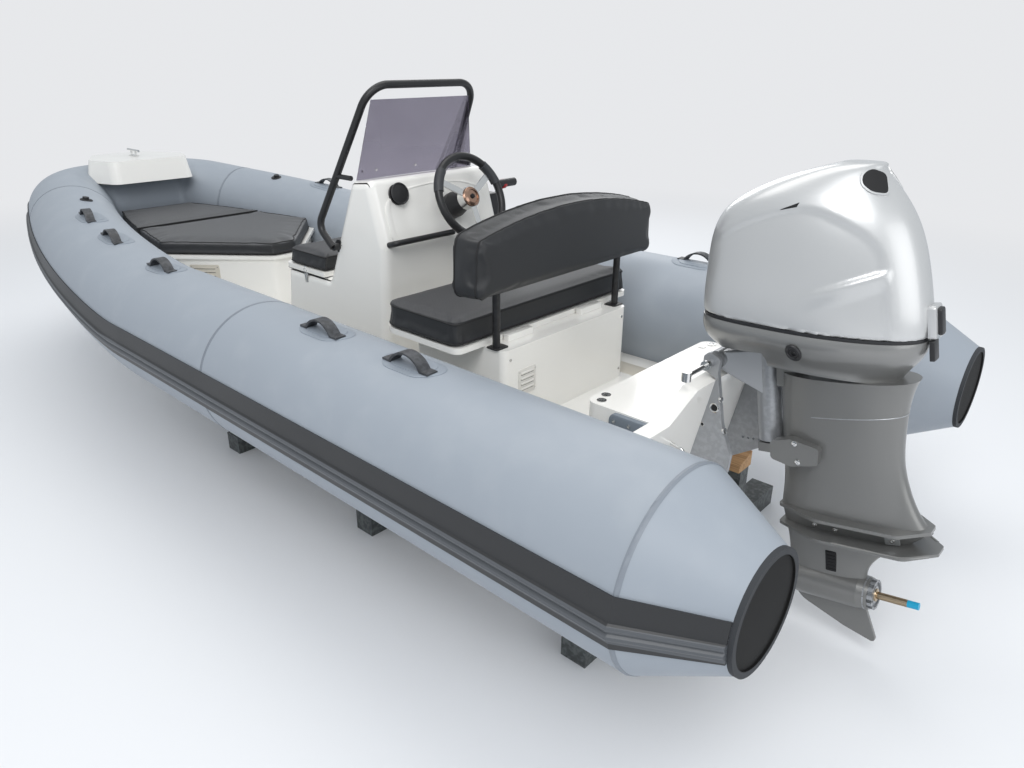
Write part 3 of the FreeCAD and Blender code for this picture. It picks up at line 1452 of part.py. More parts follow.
OUTLINE_STEPS = 24


def blade_section(front_x, rear_x, half, z, fullness=2.4, rear_fullness=None, widest=None):
    """Closed smooth outline, level in the engine frame, fuller or leaner at its ends."""
    centre = (front_x + rear_x) / 2 if widest is None else widest
    points = []
    for i in range(OUTLINE_STEPS):
        a = 2 * math.pi * i / OUTLINE_STEPS
        c, s = math.cos(a), math.sin(a)
        power = fullness if c > 0 or rear_fullness is None else rear_fullness
        reach = front_x - centre if c > 0 else centre - rear_x
        x = centre + reach * math.copysign(abs(c) ** (2 / power), c)
        y = half * math.copysign(abs(s) ** (2 / power), s)
        points.append(Vector(x, y, z))
    curve = Part.BSplineCurve()
    curve.interpolate(Points=points, PeriodicFlag=True)
    return Part.Wire([curve.toShape()])


def seam_tilt(shape):
    """Turn a level shape so that its zero level lies in the plane of the cowl's seam."""
    tilted = shape.copy()
    centre = Vector(d.SeamMiddleX, 0, d.SeamMiddleZ)
    tilted.translate(Vector(0, 0, d.SeamMiddleZ))
    tilted.rotate(centre, Vector(0, 1, 0), -d.SeamSlope)
    return tilted


COWL_HEIGHT_SHARES = (0, 0.12, 0.32, 0.55, 0.70, 0.82, 0.91, 0.97, 1)
COWL_FRONT_SHARES = (1, 1.03, 1.04, 1.01, 0.85, 0.50, 0.08, -0.30, -0.52)
COWL_REAR_SHARES = (1, 0.995, 0.945, 0.865, 0.785, 0.69, 0.60, 0.55, 0.58)
COWL_HALF_SHARES = (1, 1, 0.98, 0.93, 0.86, 0.74, 0.58, 0.42, 0.22)
COWL_FRONT_FULLNESS = (4, 2.3)
COWL_REAR_FULLNESS = 2.05


def cowl_section(front_share, rear_share, half, z, shrink=0):
    """Outline of the cowl at one height above its seam; the shares are of the reach ahead and behind."""
    height_share = max(0, z) / d.CowlHeight
    front_x = d.CowlWidestX + (d.SeamFrontX - d.CowlWidestX) * front_share - shrink
    rear_x = d.CowlWidestX + (d.SeamRearX - d.CowlWidestX) * rear_share + shrink
    widest = min(d.CowlWidestX, front_x - (front_x - rear_x) / 3)
    full = COWL_FRONT_FULLNESS[0] + (COWL_FRONT_FULLNESS[1] - COWL_FRONT_FULLNESS[0]) * height_share
    return blade_section(front_x, rear_x, half - shrink, z, full, COWL_REAR_FULLNESS, widest)


def cowl_loft(shrink):
    height = d.CowlHeight - shrink
    sections = []
    for level, fore, aft, half in zip(COWL_HEIGHT_SHARES, COWL_FRONT_SHARES, COWL_REAR_SHARES,
                                      COWL_HALF_SHARES):
        sections.append(cowl_section(fore, aft, d.CowlHalf * half, height * level, shrink))
    return Part.makeLoft(sections, True, False)


PAN_FRONT_SHARES = (1, 0.98, 0.90, 0.60)
PAN_REAR_SHARES = (1, 0.985, 0.93, 0.88)
PAN_HALF_SHARES = (1, 0.975, 0.80, 0.62)


def build_cowl():
    shell = cowl_loft(0).cut(cowl_loft(d.CowlWall))
    shell.translate(Vector(0, 0, d.SealHeight / 2 + d.SeatGap))
    feature("cowl_top", seam_tilt(shell), ENGINE_PLACE)

    low = -d.SealHeight / 2
    half = d.CowlHalf
    rings = [prism(cowl_section(1, 1, half, low, inset), Vector(0, 0, d.SealHeight))
             for inset in (d.SealInset, d.SealInset + d.SealWidth)]
    feature("cowl_seal", seam_tilt(rings[0].cut(rings[1])), ENGINE_PLACE)

    top = low - d.SeatGap
    drops = (0, d.PanLip, d.PanLip + (d.PanDepth - d.PanLip) * 0.45, d.PanDepth)
    shares = zip(PAN_FRONT_SHARES, PAN_REAR_SHARES, PAN_HALF_SHARES, drops)
    sections = [cowl_section(fore, aft, half * wide, top - drop) for fore, aft, wide, drop in shares]
    pan = seam_tilt(Part.makeLoft(sections, True, False))
    clear_z = d.SwivelTopZ + d.YokeHeight + d.YokeGap
    play = d.YokeGap / 3
    under = box_between((d.LegFrontX - play * 2, -half * 2, -half), (half * 2, half * 2, clear_z))
    slot = box_between((d.LegFrontX - d.YokeDepth - play, -d.YokeHalf - play, -half),
                       (d.LegFrontX + play * 4, d.YokeHalf + play, clear_z))
    pan = pan.cut(under.fuse(slot))
    feature("cowl_pan", max(pan.Solids, key=lambda s: s.Volume), ENGINE_PLACE)

    floor = top + d.SeatGap
    middle = d.SeamMiddleX
    body = box_between((middle - d.PowerheadLength / 2, -d.PowerheadWidth / 2, floor),
                       (middle + d.PowerheadLength / 2, d.PowerheadWidth / 2, floor + d.PowerheadHeight))
    feature("powerhead", seam_tilt(body), ENGINE_PLACE)


LEG_Z_SHARES = (0, 0.16, 0.36, 0.58, 0.78, 0.92, 1)
LEG_FRONT_SHARES = (-0.02, 0.0, 0.0, 0.0, 0.0, 0.02, 0.03)
LEG_REAR_SHARES = (0.10, 0.03, 0.0, 0.0, 0.06, 0.14, 0.22)
LEG_HALF_SHARES = (1.35, 1.12, 0.98, 0.88, 0.80, 0.82, 0.86)


COVER_SHARES = ((0, 0.17), (0, 0.81), (0.42, 1), (0.97, 0.81), (1, 0.21), (0.42, 0))


def build_leg():
    length = d.LegFrontX - d.LegRearX
    sections = []
    for level, fore, aft, half in zip(LEG_Z_SHARES, LEG_FRONT_SHARES, LEG_REAR_SHARES, LEG_HALF_SHARES):
        z = d.LegTopZ + (d.LegFootZ - d.LegTopZ) * level
        sections.append(blade_section(d.LegFrontX + fore * length, d.LegRearX - aft * length,
                                      d.LegHalf * half, z))
    leg = Part.makeLoft(sections, True, False)
    splash = prism(plate_outline(d.LegFrontX + d.SplashFront, d.LegRearX - d.SplashRear, d.PlateHalf * 0.9,
                                 d.SplashZ), Vector(0, 0, d.SplashThickness))
    yoke_top = d.SwivelTopZ + d.YokeGap + d.YokeHeight - d.SeatGap
    shaft = rod(Vector(d.SwivelX, 0, d.SwivelBottomZ - d.LowYokeDepth), Vector(d.SwivelX, 0, yoke_top),
                d.SwivelShaftDiameter / 2)
    low_yoke = box_between((d.LegFrontX - d.LowYokeFoot, -d.LowYokeHalf, d.SwivelBottomZ - d.LowYokeDepth),
                           (d.SwivelX + d.LowYokeReach, d.LowYokeHalf, d.SwivelBottomZ - d.YokeGap))
    post = box_between((d.LegFrontX - d.YokeDepth, -d.YokeHalf, d.LegTopZ - d.YokeHalf),
                       (d.LegFrontX + d.SeatGap, d.YokeHalf, yoke_top))
    top_yoke = box_between((d.LegFrontX - d.YokeDepth, -d.YokeHalf, d.SwivelTopZ + d.YokeGap),
                           (d.SwivelX + d.YokeReach, d.YokeHalf, yoke_top))
    leg = leg.fuse([splash, shaft, low_yoke, post, top_yoke])
    pan = solid_of("cowl_pan")
    local_pan = pan.copy()
    local_pan.Placement = ENGINE_PLACE.inverse().multiply(pan.Placement)
    leg = leg.cut(local_pan)
    leg = max(leg.Solids, key=lambda s: s.Volume)
    feature("midsection", leg, ENGINE_PLACE)

    outline = rounded_outline([(d.CoverFrontX - d.CoverLength * x, d.CoverTopZ - d.CoverHeight * z)
                               for x, z in COVER_SHARES], d.CoverThickness * 0.4, side(d.LegHalf * 0.8))
    cover = prism(outline, Vector(0, d.CoverThickness, 0)).cut(leg)
    cover = max(cover.Solids, key=lambda s: s.Volume)
    covers = [cover, mirror_port(cover)]
    feature("mount_covers", Part.makeCompound(covers), ENGINE_PLACE)


PLATE_CORNER_SHARES = (0.09, 1.1, 0.28, 0.07)


def plate_outline(front_x, tip_x, half, z):
    length = front_x - tip_x
    points = [(front_x, half * 0.35),
              (front_x - length * 0.30, half * 0.95),
              (tip_x + length * 0.16, half * 0.88),
              (tip_x, half * 0.22)]
    corners = [half * share for share in PLATE_CORNER_SHARES]
    return rounded_outline(points + [(x, -y) for x, y in reversed(points)], corners + corners[::-1], plan(z))


SKEG_CORNER_SHARES = (0, 1.1, 1.1, 0.2, 0.6, 0.2, 0)
STRUT_SHARES = ((0, 1, 0.82), (0.02, 0.85, 0.61), (0.04, 0.68, 0.45), (0.025, 0.645, 0.45))


NOSE_SHARES = ((0, 0), (0.27, 0.45), (0.88, 0.82), (1.9, 1))


def build_gearcase():
    half_radius = d.TorpedoDiameter / 2
    top = d.LegFootZ - d.SeatGap
    levels = (top, d.PlateZ, d.PlateZ - d.TorpedoDiameter * 0.58, d.ShaftAxisZ)
    fore_x, length = d.StrutFrontX, d.StrutLength
    strut = Part.makeLoft([blade_section(fore_x - length * fore, fore_x - length * aft, d.LegHalf * half, z)
                           for (fore, aft, half), z in zip(STRUT_SHARES, levels)], True, False)
    plate = prism(plate_outline(fore_x, d.PlateTipX, d.PlateHalf, d.PlateZ), Vector(0, 0, d.PlateThickness))
    nose = d.TorpedoNoseX
    curve = Part.BSplineCurve()
    curve.interpolate([Vector(nose - half_radius * back, 0, d.ShaftAxisZ + half_radius * rise)
                       for back, rise in NOSE_SHARES])
    rear = d.TorpedoRearX
    corners = [Vector(nose - half_radius * NOSE_SHARES[-1][0], 0, d.ShaftAxisZ + half_radius),
               Vector(rear + half_radius * 0.58, 0, d.ShaftAxisZ + half_radius),
               Vector(rear, 0, d.ShaftAxisZ + half_radius * 0.9),
               Vector(rear, 0, d.ShaftAxisZ),
               Vector(nose, 0, d.ShaftAxisZ)]
    edges = [curve.toShape()]
    edges += [Part.LineSegment(near, far).toShape() for near, far in zip(corners, corners[1:])]
    torpedo = Part.Face(Part.Wire(edges)).revolve(Vector(0, 0, d.ShaftAxisZ), Vector(1, 0, 0), 360)
    skeg_mid_z = (d.SkegTipZ + d.SkegFootZ) / 2
    skeg_points = [(nose - half_radius * 0.77, d.ShaftAxisZ - half_radius * 0.4),
                   (nose - half_radius * 1.73, d.ShaftAxisZ - half_radius * 1.5),
                   (d.SkegFootX, d.SkegFootZ),
                   (d.SkegTipX, d.SkegTipZ),
                   (rear - half_radius * 0.08, skeg_mid_z + half_radius * 0.6),
                   (rear + half_radius * 0.3, d.ShaftAxisZ - half_radius * 0.9),
                   (rear + half_radius * 0.4, d.ShaftAxisZ - half_radius * 0.4)]
    skeg_wire = rounded_outline(skeg_points, [half_radius * share for share in SKEG_CORNER_SHARES], side(0))
    skeg = prism(skeg_wire, Vector(0, d.SkegThickness, 0))
    skeg.translate(Vector(0, -d.SkegThickness / 2, 0))
    root = d.ShaftRootLength
    shaft_bore = rod(Vector(rear - root, 0, d.ShaftAxisZ), Vector(rear + root, 0, d.ShaftAxisZ),
                     d.ShaftRootDiameter / 2 + d.RunningGap)
    gearcase = strut.fuse([plate, torpedo, skeg]).cut(shaft_bore)
    feature("gearcase", max(gearcase.Solids, key=lambda s: s.Volume), ENGINE_PLACE)

    aft = FORWARD.negative()
    inner_end = rear + root - d.SeatGap
    inner = bar("shaft_root", (inner_end, 0, d.ShaftAxisZ), aft, d.ShaftRootDiameter / 2, root)
    ring_x = rear - d.SeatGap
    ring = bar("shaft_collar", (ring_x, 0, d.ShaftAxisZ), aft, d.ShaftCollarDiameter / 2, d.ShaftCollarLength)
    seat_x = ring_x - d.ShaftCollarLength
    seat = bar("shaft_seat", (seat_x, 0, d.ShaftAxisZ), aft, d.PropShaftDiameter / 2, d.ShaftSeatLength)
    end_x = seat_x - d.ShaftSeatLength
    cap = bar("cap", (end_x - d.SeatGap, 0, d.ShaftAxisZ), aft, d.CapDiameter / 2, d.CapLength)
    shaft = joined("shaft", [inner, ring, seat])
    doc.recompute()
    for obj, label in ((shaft, "propeller_shaft"), (grouped("cap_placed", [cap]), "shaft_cap")):
        obj.Placement = ENGINE_PLACE
        keep(obj, label)


# Cradle: two padded fore and aft beams on feet, under the V of the hull.

FOOT_BEAM_SHARES = (0, 0.46, 0.9)


def build_cradle():
    slope = math.atan2(d.ChineZ - d.KeelZ, d.ChineHalf)
    beam_top = d.BeamBottomZ + d.BeamHeight
    length = d.BeamFrontX - d.BeamAftX
    pieces = []
    sides = (("port", d.BeamHalf), ("starboard", -d.BeamHalf))
    for name, y in sides:
        pieces.append(block("beam_" + name, (d.BeamAftX, y - d.BeamWidth / 2, d.BeamBottomZ),
                            (d.BeamFrontX, y + d.BeamWidth / 2, beam_top)))
    for i, share in enumerate(FOOT_BEAM_SHARES):
        x = length * share
        pieces.append(block("foot_%d" % i, (x - d.FootBeamWidth / 2, -d.FootBeamHalf, 0),
                            (x + d.FootBeamWidth / 2, d.FootBeamHalf, d.FootBeamHeight)))
        leg_half = d.LegSide / 2
        for name, y in sides:
            pieces.append(block("leg_%d_%s" % (i, name), (x - leg_half, y - leg_half, d.FootBeamHeight),
                                (x + leg_half, y + leg_half, d.BeamBottomZ)))
    frame = joined("frame", pieces)
    frame.Refine = True
    keep(frame, "cradle_frame")

    half = d.BunkWidth / 2
    inner, outer = d.BeamHalf - half, d.BeamHalf + half
    rise = (d.ChineZ - d.KeelZ) / d.ChineHalf
    hull_z = lambda y: d.KeelZ + y * rise - d.SeatGap / math.cos(slope)
    low = beam_top + d.SeatGap
    body = body_named("bunk")
    points = [(inner, low), (outer, low), (outer, hull_z(outer)), (inner, hull_z(inner))]
    pad_on(body, sketch_on(body, "BunkOutline", "YZ_Plane", points, d.BeamAftX), length)
    keep(grouped("bunks", [body, mirrored("bunk_starboard", body)]), "cradle_bunks")


cutters = collar_cutter()
build_collar()
build_strakes()
build_handles()
build_valves()
build_hull(cutters)
build_deck(cutters)
build_ledge()
build_bow_locker()
build_bow_step(cutters)
build_console()
build_console_seat()
build_screen()
build_hoop()
build_dash_fittings()
build_wheel()
build_throttle()
build_helm_seat()
build_transom_fittings()
build_clamp_bracket()
build_swivel_bracket()
build_cowl()
build_leg()
build_gearcase()
build_cradle()

doc.recompute()
for obj in doc.Objects:
    if "Invalid" in obj.State or "Error" in obj.State:
        raise RuntimeError("failed object: " + obj.Label)
for obj in parts:
    if obj.Shape.isNull() or not obj.Shape.isValid():
        raise RuntimeError("bad shape: " + obj.Label)

os.makedirs("parts", exist_ok=True)
for obj in parts:
    obj.Shape.exportStep("parts/%s.step" % obj.Label)
print("wrote", len(parts), "parts")
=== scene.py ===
import json
import math

import bmesh
import bpy
from mathutils import Matrix, Vector
from mathutils.bvhtree import BVHTree


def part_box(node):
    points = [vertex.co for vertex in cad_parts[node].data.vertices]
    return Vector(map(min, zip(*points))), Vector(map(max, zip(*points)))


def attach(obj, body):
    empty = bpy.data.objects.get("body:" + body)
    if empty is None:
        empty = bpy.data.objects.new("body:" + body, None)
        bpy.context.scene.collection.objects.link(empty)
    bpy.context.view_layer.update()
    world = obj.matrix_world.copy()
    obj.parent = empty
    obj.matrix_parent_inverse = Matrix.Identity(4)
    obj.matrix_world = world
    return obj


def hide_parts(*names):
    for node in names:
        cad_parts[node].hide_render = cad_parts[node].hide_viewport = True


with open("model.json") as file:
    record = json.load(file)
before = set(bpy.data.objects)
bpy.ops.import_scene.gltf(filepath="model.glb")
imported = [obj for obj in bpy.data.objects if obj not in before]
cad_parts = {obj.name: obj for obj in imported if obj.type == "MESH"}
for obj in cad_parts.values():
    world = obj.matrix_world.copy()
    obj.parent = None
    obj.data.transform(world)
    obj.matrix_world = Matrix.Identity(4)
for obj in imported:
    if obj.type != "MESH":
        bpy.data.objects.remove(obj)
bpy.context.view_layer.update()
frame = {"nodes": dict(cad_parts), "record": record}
nodes = frame["nodes"]
print("frame loaded:", len(nodes), "nodes")


# Shader nodes

def feed(tree, node, inputs):
    # each input gets a value, or a link where a socket is given
    for key, value in inputs.items():
        if isinstance(value, bpy.types.NodeSocket):
            tree.links.new(value, node.inputs[key])
        else:
            node.inputs[key].default_value = value


def addNode(tree, kind, inputs=None, **settings):
    node = tree.nodes.new("ShaderNode" + kind)
    for key, value in settings.items():
        setattr(node, key, value)
    feed(tree, node, inputs or {})
    return node


def mathNode(tree, operation, *values, clamp=False):
    return addNode(tree, "Math", dict(enumerate(values)), operation=operation, use_clamp=clamp).outputs[0]


def stepNode(tree, value, low, high):
    return addNode(tree, "MapRange", {"Value": value, "From Min": low, "From Max": high},
                   interpolation_type="SMOOTHSTEP").outputs["Result"]


def spanNode(tree, value, low, high):
    return addNode(tree, "MapRange", {"Value": value, "To Min": low, "To Max": high}).outputs["Result"]


def mixNode(tree, factor, first, second):
    return addNode(tree, "Mix", {"Factor": factor, "A": first, "B": second}, data_type="RGBA").outputs["Result"]


def noiseNode(tree, vector, scale, detail, distortion=0.0):
    return addNode(tree, "TexNoise", {"Vector": vector, "Scale": scale, "Detail": detail,
                                      "Distortion": distortion}).outputs["Fac"]


def objectPlace(tree):
    return addNode(tree, "TexCoord").outputs["Object"]


def newMaterial(name):
    material = bpy.data.materials.new(name)
    material.use_nodes = True
    return material, material.node_tree, material.node_tree.nodes["Principled BSDF"]


# Camera, light and floor

view = {
    "place": (-1.0527, 2.0611, 1.6591),
    "heading": -47.89,
    "dip": 23.19,
    "roll": 0.33,
    "lens": 26.92,
    "sensor": 36.0,
    "clipEnd": 200.0,
    "floorSize": 60.0,
    "floorPlace": (2, 0, 0),
    "floorRough": 0.9,
    "floorGloss": 0.1,
    "backColor": (0.80, 0.81, 0.83, 1.0),
    "skyColor": (0.90, 0.95, 1.0, 1.0),
    "skyPower": 0.62,
    "fadeStart": 2.5,
    "fadeEnd": 8.0,
}
# place, aim, size, power and colour of each lamp
lamps = {
    "keySoft": ((-2.0, 4.0, 5.5), (1.6, 0.2, 0.5), (4.0, 3.0), 195, (1, 1, 1)),
    "overhead": ((2.5, -0.5, 6.5), (2.0, 0, 0), (7.0, 4.0), 165, (1.0, 0.98, 0.95)),
    "rimSoft": ((4.5, -5.0, 3.5), (1.0, 0, 0.6), (4.0, 3.0), 80, (1, 1, 1)),
    "aftFill": ((-4.5, 0.5, 2.2), (0, 0, 0.7), (3.0, 3.0), 50, (1, 1, 1)),
}


def makeCamera():
    heading, dip, roll = (math.radians(view[key]) for key in ("heading", "dip", "roll"))
    ahead = Vector((math.cos(heading) * math.cos(dip), math.sin(heading) * math.cos(dip), -math.sin(dip)))
    right = ahead.cross(Vector((0, 0, 1))).normalized()
    up = right.cross(ahead)
    turned = Matrix.Rotation(-roll, 3, ahead)
    right, up = turned @ right, turned @ up
    bpy.ops.object.camera_add(location=view["place"])
    camera = bpy.context.object
    camera.name = "photoCamera"
    camera.rotation_euler = Matrix((right, up, -ahead)).transposed().to_euler()
    camera.data.lens = view["lens"]
    camera.data.sensor_width = view["sensor"]
    camera.data.clip_end = view["clipEnd"]
    bpy.context.scene.camera = camera


def makeLight(name, place, aim, size, power, color):
    bpy.ops.object.light_add(type="AREA", location=place)
    lamp = bpy.context.object
    lamp.name = name
    lamp.rotation_euler = (Vector(aim) - Vector(place)).to_track_quat("-Z", "Y").to_euler()
    lamp.data.shape = "RECTANGLE"
    lamp.data.size, lamp.data.size_y = size
    lamp.data.energy = power
    lamp.data.color = color


def stageMaterial():
    # lit floor round the boat, fading to the background's own colour further out
    material, tree, shader = newMaterial("studioFloorPaint")
    feed(tree, shader, {"Base Color": view["backColor"], "Roughness": view["floorRough"],
                        "Specular IOR Level": view["floorGloss"]})
    away = addNode(tree, "VectorMath", {0: objectPlace(tree)}, operation="LENGTH").outputs["Value"]
    far = stepNode(tree, away, view["fadeStart"], view["fadeEnd"])
    seen = addNode(tree, "LightPath").outputs["Is Camera Ray"]
    glow = addNode(tree, "Emission", {"Color": view["backColor"]}).outputs[0]
    mix = addNode(tree, "MixShader", {0: mathNode(tree, "MULTIPLY", far, seen), 1: shader.outputs[0], 2: glow})
    feed(tree, tree.nodes["Material Output"], {"Surface": mix.outputs[0]})
    return material


def makeStage():
    bpy.ops.mesh.primitive_plane_add(size=view["floorSize"], location=view["floorPlace"])
    floor = bpy.context.object
    floor.name = "studioFloor"
    floor.data.materials.append(stageMaterial())
    world = bpy.context.scene.world or bpy.data.worlds.new("studioWorld")
    bpy.context.scene.world = world
    world.use_nodes = True
    tree = world.node_tree
    tree.nodes.clear()
    seen = addNode(tree, "Background", {"Color": view["backColor"]}).outputs[0]
    lit = addNode(tree, "Background", {"Color": view["skyColor"], "Strength": view["skyPower"]}).outputs[0]
    path = addNode(tree, "LightPath").outputs["Is Camera Ray"]
    mix = addNode(tree, "MixShader", {0: path, 1: lit, 2: seen}).outputs[0]
    addNode(tree, "OutputWorld", {"Surface": mix})
    for name, values in lamps.items():
        makeLight(name, *values)


# Shared shader groups

texture = {
    "grainDetail": 3.0,
    "cloudDetail": 4.0,
    "threadLean": 0.7,
    "threadSpan": (0.35, 0.65),
    "threadTint": 1.7,
    "threadShare": 0.55,
    "threadGrain": 0.3,
    "wearScale": 60.0,
    "wearDetail": 5.0,
    "wearEdge": (0.52, 0.60),
    "wearPatch": (0.42, 0.62),
    "wearTints": (1.3, 3.0),
    "paleFrom": 0.2,
    "bumpStrength": 0.6,
    "coatRough": 0.08,
    "leastRough": 0.02,
}


def newGroup(name, inputs, outputs):
    # float inputs come with a default, the vector has none
    group = bpy.data.node_groups.new(name, "ShaderNodeTree")
    for socket, value in inputs.items():
        kind = "NodeSocketVector" if value is None else "NodeSocketFloat"
        made = group.interface.new_socket(socket, in_out="INPUT", socket_type=kind)
        if value is not None:
            made.default_value = value
    for socket in outputs:
        group.interface.new_socket(socket, in_out="OUTPUT", socket_type="NodeSocketFloat")
    return group, group.nodes.new("NodeGroupInput").outputs, group.nodes.new("NodeGroupOutput")


def makeGrainGroup():
    group, given, out = newGroup("fineGrain", {"Vector": None, "Scale": 400.0, "Cloud": 3.0}, ("Height", "Patch"))
    feed(group, out, {"Height": noiseNode(group, given["Vector"], given["Scale"], texture["grainDetail"]),
                      "Patch": noiseNode(group, given["Vector"], given["Cloud"], texture["cloudDetail"])})
    return group


def makeWeaveGroup():
    # crossed threads, as a height and a mask of the raised ones
    group, given, out = newGroup("crossWeave", {"Vector": None, "Scale": 400.0}, ("Height", "Mask"))
    scaled = addNode(group, "VectorMath", {0: given["Vector"], "Scale": given["Scale"]}, operation="SCALE")
    parts = addNode(group, "SeparateXYZ", {0: scaled.outputs[0]}).outputs
    level = mathNode(group, "MULTIPLY", parts["Z"], texture["threadLean"])
    warp = mathNode(group, "SINE", mathNode(group, "ADD", parts["X"], level))
    weft = mathNode(group, "SINE", mathNode(group, "SUBTRACT", parts["Y"], level))
    height = mathNode(group, "MULTIPLY_ADD", mathNode(group, "MULTIPLY", warp, weft), 0.5, 0.5)
    feed(group, out, {"Height": height, "Mask": stepNode(group, height, *texture["threadSpan"])})
    return group


def makeWearGroup():
    # paler rubbed edges, broken up by noise
    group, given, out = newGroup("edgeWear", {"Vector": None, "Amount": 0.5}, ("Mask",))
    noise = noiseNode(group, given["Vector"], texture["wearScale"], texture["wearDetail"])
    edge = stepNode(group, addNode(group, "NewGeometry").outputs["Pointiness"], *texture["wearEdge"])
    both = mathNode(group, "MULTIPLY", edge, stepNode(group, noise, *texture["wearPatch"]))
    feed(group, out, {"Mask": mathNode(group, "MULTIPLY", both, given["Amount"], clamp=True)})
    return group


grainGroup = makeGrainGroup()
weaveGroup = makeWeaveGroup()
wearGroup = makeWearGroup()


# Finishes

def tint(color, factor):
    return tuple(min(1.0, channel * factor) for channel in color) + (1.0,)


def makeFinish(name, color, rough, metal=0.0, coat=0.0, grain=400.0, height=0.0002, cloud=2.5, vary=0.06,
               roughVary=0.08, spec=0.5, sheen=0.0, weave=0.0, wear=0.0):
    material, tree, shader = newMaterial(name)
    vector = objectPlace(tree)
    grains = addNode(tree, "Group", {"Vector": vector, "Scale": grain, "Cloud": cloud}, node_tree=grainGroup).outputs
    patch, raised = grains["Patch"], grains["Height"]
    colored = mixNode(tree, patch, tint(color, 1 - vary), tint(color, 1 + vary))
    if weave:
        threads = addNode(tree, "Group", {"Vector": vector, "Scale": weave}, node_tree=weaveGroup).outputs
        share = mathNode(tree, "MULTIPLY", threads["Mask"], texture["threadShare"])
        colored = mixNode(tree, share, colored, tint(color, texture["threadTint"]))
        raised = mathNode(tree, "ADD", mathNode(tree, "MULTIPLY", raised, texture["threadGrain"]), threads["Height"])
    if wear:
        worn = addNode(tree, "Group", {"Vector": vector, "Amount": wear}, node_tree=wearGroup).outputs
        factor = texture["wearTints"][0 if color[0] > texture["paleFrom"] else 1]
        colored = mixNode(tree, worn["Mask"], colored, tint(color, factor))
    bump = addNode(tree, "Bump", {"Strength": texture["bumpStrength"], "Distance": height, "Height": raised})
    rougher = spanNode(tree, patch, max(texture["leastRough"], rough - roughVary), min(1.0, rough + roughVary))
    feed(tree, shader, {"Base Color": colored, "Roughness": rougher, "Normal": bump.outputs["Normal"],
                        "Metallic": metal, "Coat Weight": coat, "Coat Roughness": texture["coatRough"],
                        "Specular IOR Level": spec, "Sheen Weight": sheen})
    return material


def recolor(material, factor, color):
    # one more colour over a finish, as far as the factor says
    tree = material.node_tree
    shader = tree.nodes["Principled BSDF"]
    under = shader.inputs["Base Color"].links[0].from_socket
    feed(tree, shader, {"Base Color": mixNode(tree, factor, under, color)})
    return material


# the collar's centre line, that the strake and the end discs are coloured by
sheer = {"level": 0.62, "side": 0.785, "riseFrom": 2.15, "riseAngle": 5.6}
strakeBand = {"under": (-0.0450, -0.0435), "over": (0.0065, 0.0050), "color": (0.085, 0.092, 0.102, 1)}
discBand = {"edge": (0.1290, 0.1270), "color": (0.011, 0.011, 0.011, 1)}
tubeCloth = {"crease": (2.2, 1.0, 0.6), "creaseStrength": 0.35, "creaseDepth": 0.02, "dust": (9.0, 6.0),
             "dustSpan": (0.45, 0.8), "dustShare": 0.22, "dustColor": (0.42, 0.45, 0.48, 1)}
screenTint = {"smear": (7.0, 6.0), "colors": ((0.20, 0.165, 0.235, 1), (0.25, 0.21, 0.29, 1)),
              "rough": (0.02, 0.07), "clear": 0.95, "bend": 1.2, "alpha": 0.72}
timberGrain = {"stretch": (0.6, 14.0, 14.0), "rings": (6.0, 5.0, 1.2), "ringSpan": (0.45, 0.7), "share": 0.6,
               "color": (0.26, 0.13, 0.055, 1)}


def makeStrakeFinish():
    # the paler ribs follow the height over the collar's sheer line
    material = makeFinish("strakeRubber", (0.02, 0.021, 0.023), 0.42, grain=500, height=0.0003)
    tree = material.node_tree
    parts = addNode(tree, "SeparateXYZ", {0: objectPlace(tree)}).outputs
    ahead = mathNode(tree, "MAXIMUM", mathNode(tree, "SUBTRACT", parts["X"], sheer["riseFrom"]), 0.0)
    rise = mathNode(tree, "MULTIPLY", ahead, math.tan(math.radians(sheer["riseAngle"])))
    level = mathNode(tree, "SUBTRACT", mathNode(tree, "SUBTRACT", parts["Z"], sheer["level"]), rise)
    ribs = mathNode(tree, "MULTIPLY", stepNode(tree, level, *strakeBand["under"]),
                    stepNode(tree, level, *strakeBand["over"]))
    return recolor(material, ribs, strakeBand["color"])


def makeDiscFinish():
    # lighter rim band round a dark disc, by the distance from the tube's axis
    material = makeFinish("endRubber", (0.050, 0.053, 0.058), 0.65, grain=900, height=0.0003, spec=0.12)
    tree = material.node_tree
    parts = addNode(tree, "SeparateXYZ", {0: objectPlace(tree)}).outputs
    side = mathNode(tree, "SUBTRACT", mathNode(tree, "ABSOLUTE", parts["Y"]), sheer["side"])
    level = mathNode(tree, "SUBTRACT", parts["Z"], sheer["level"])
    squares = [mathNode(tree, "MULTIPLY", value, value) for value in (side, level)]
    away = mathNode(tree, "SQRT", mathNode(tree, "ADD", *squares))
    return recolor(material, stepNode(tree, away, *discBand["edge"]), discBand["color"])


def makeTubeFinish():
    # coated fabric: faint broad clouds, soft creases and a film of dust
    material = makeFinish("coatedFabric", (0.315, 0.350, 0.395), 0.44, grain=1400, height=0.0002, cloud=1.3,
                          vary=0.035, spec=0.42)
    tree = material.node_tree
    place = objectPlace(tree)
    bulge = addNode(tree, "Bump", {"Strength": tubeCloth["creaseStrength"], "Distance": tubeCloth["creaseDepth"],
                                   "Height": noiseNode(tree, place, *tubeCloth["crease"])})
    fine = tree.nodes["Principled BSDF"].inputs["Normal"].links[0].from_node
    feed(tree, fine, {"Normal": bulge.outputs["Normal"]})
    dust = stepNode(tree, noiseNode(tree, place, *tubeCloth["dust"]), *tubeCloth["dustSpan"])
    return recolor(material, mathNode(tree, "MULTIPLY", dust, tubeCloth["dustShare"]), tubeCloth["dustColor"])


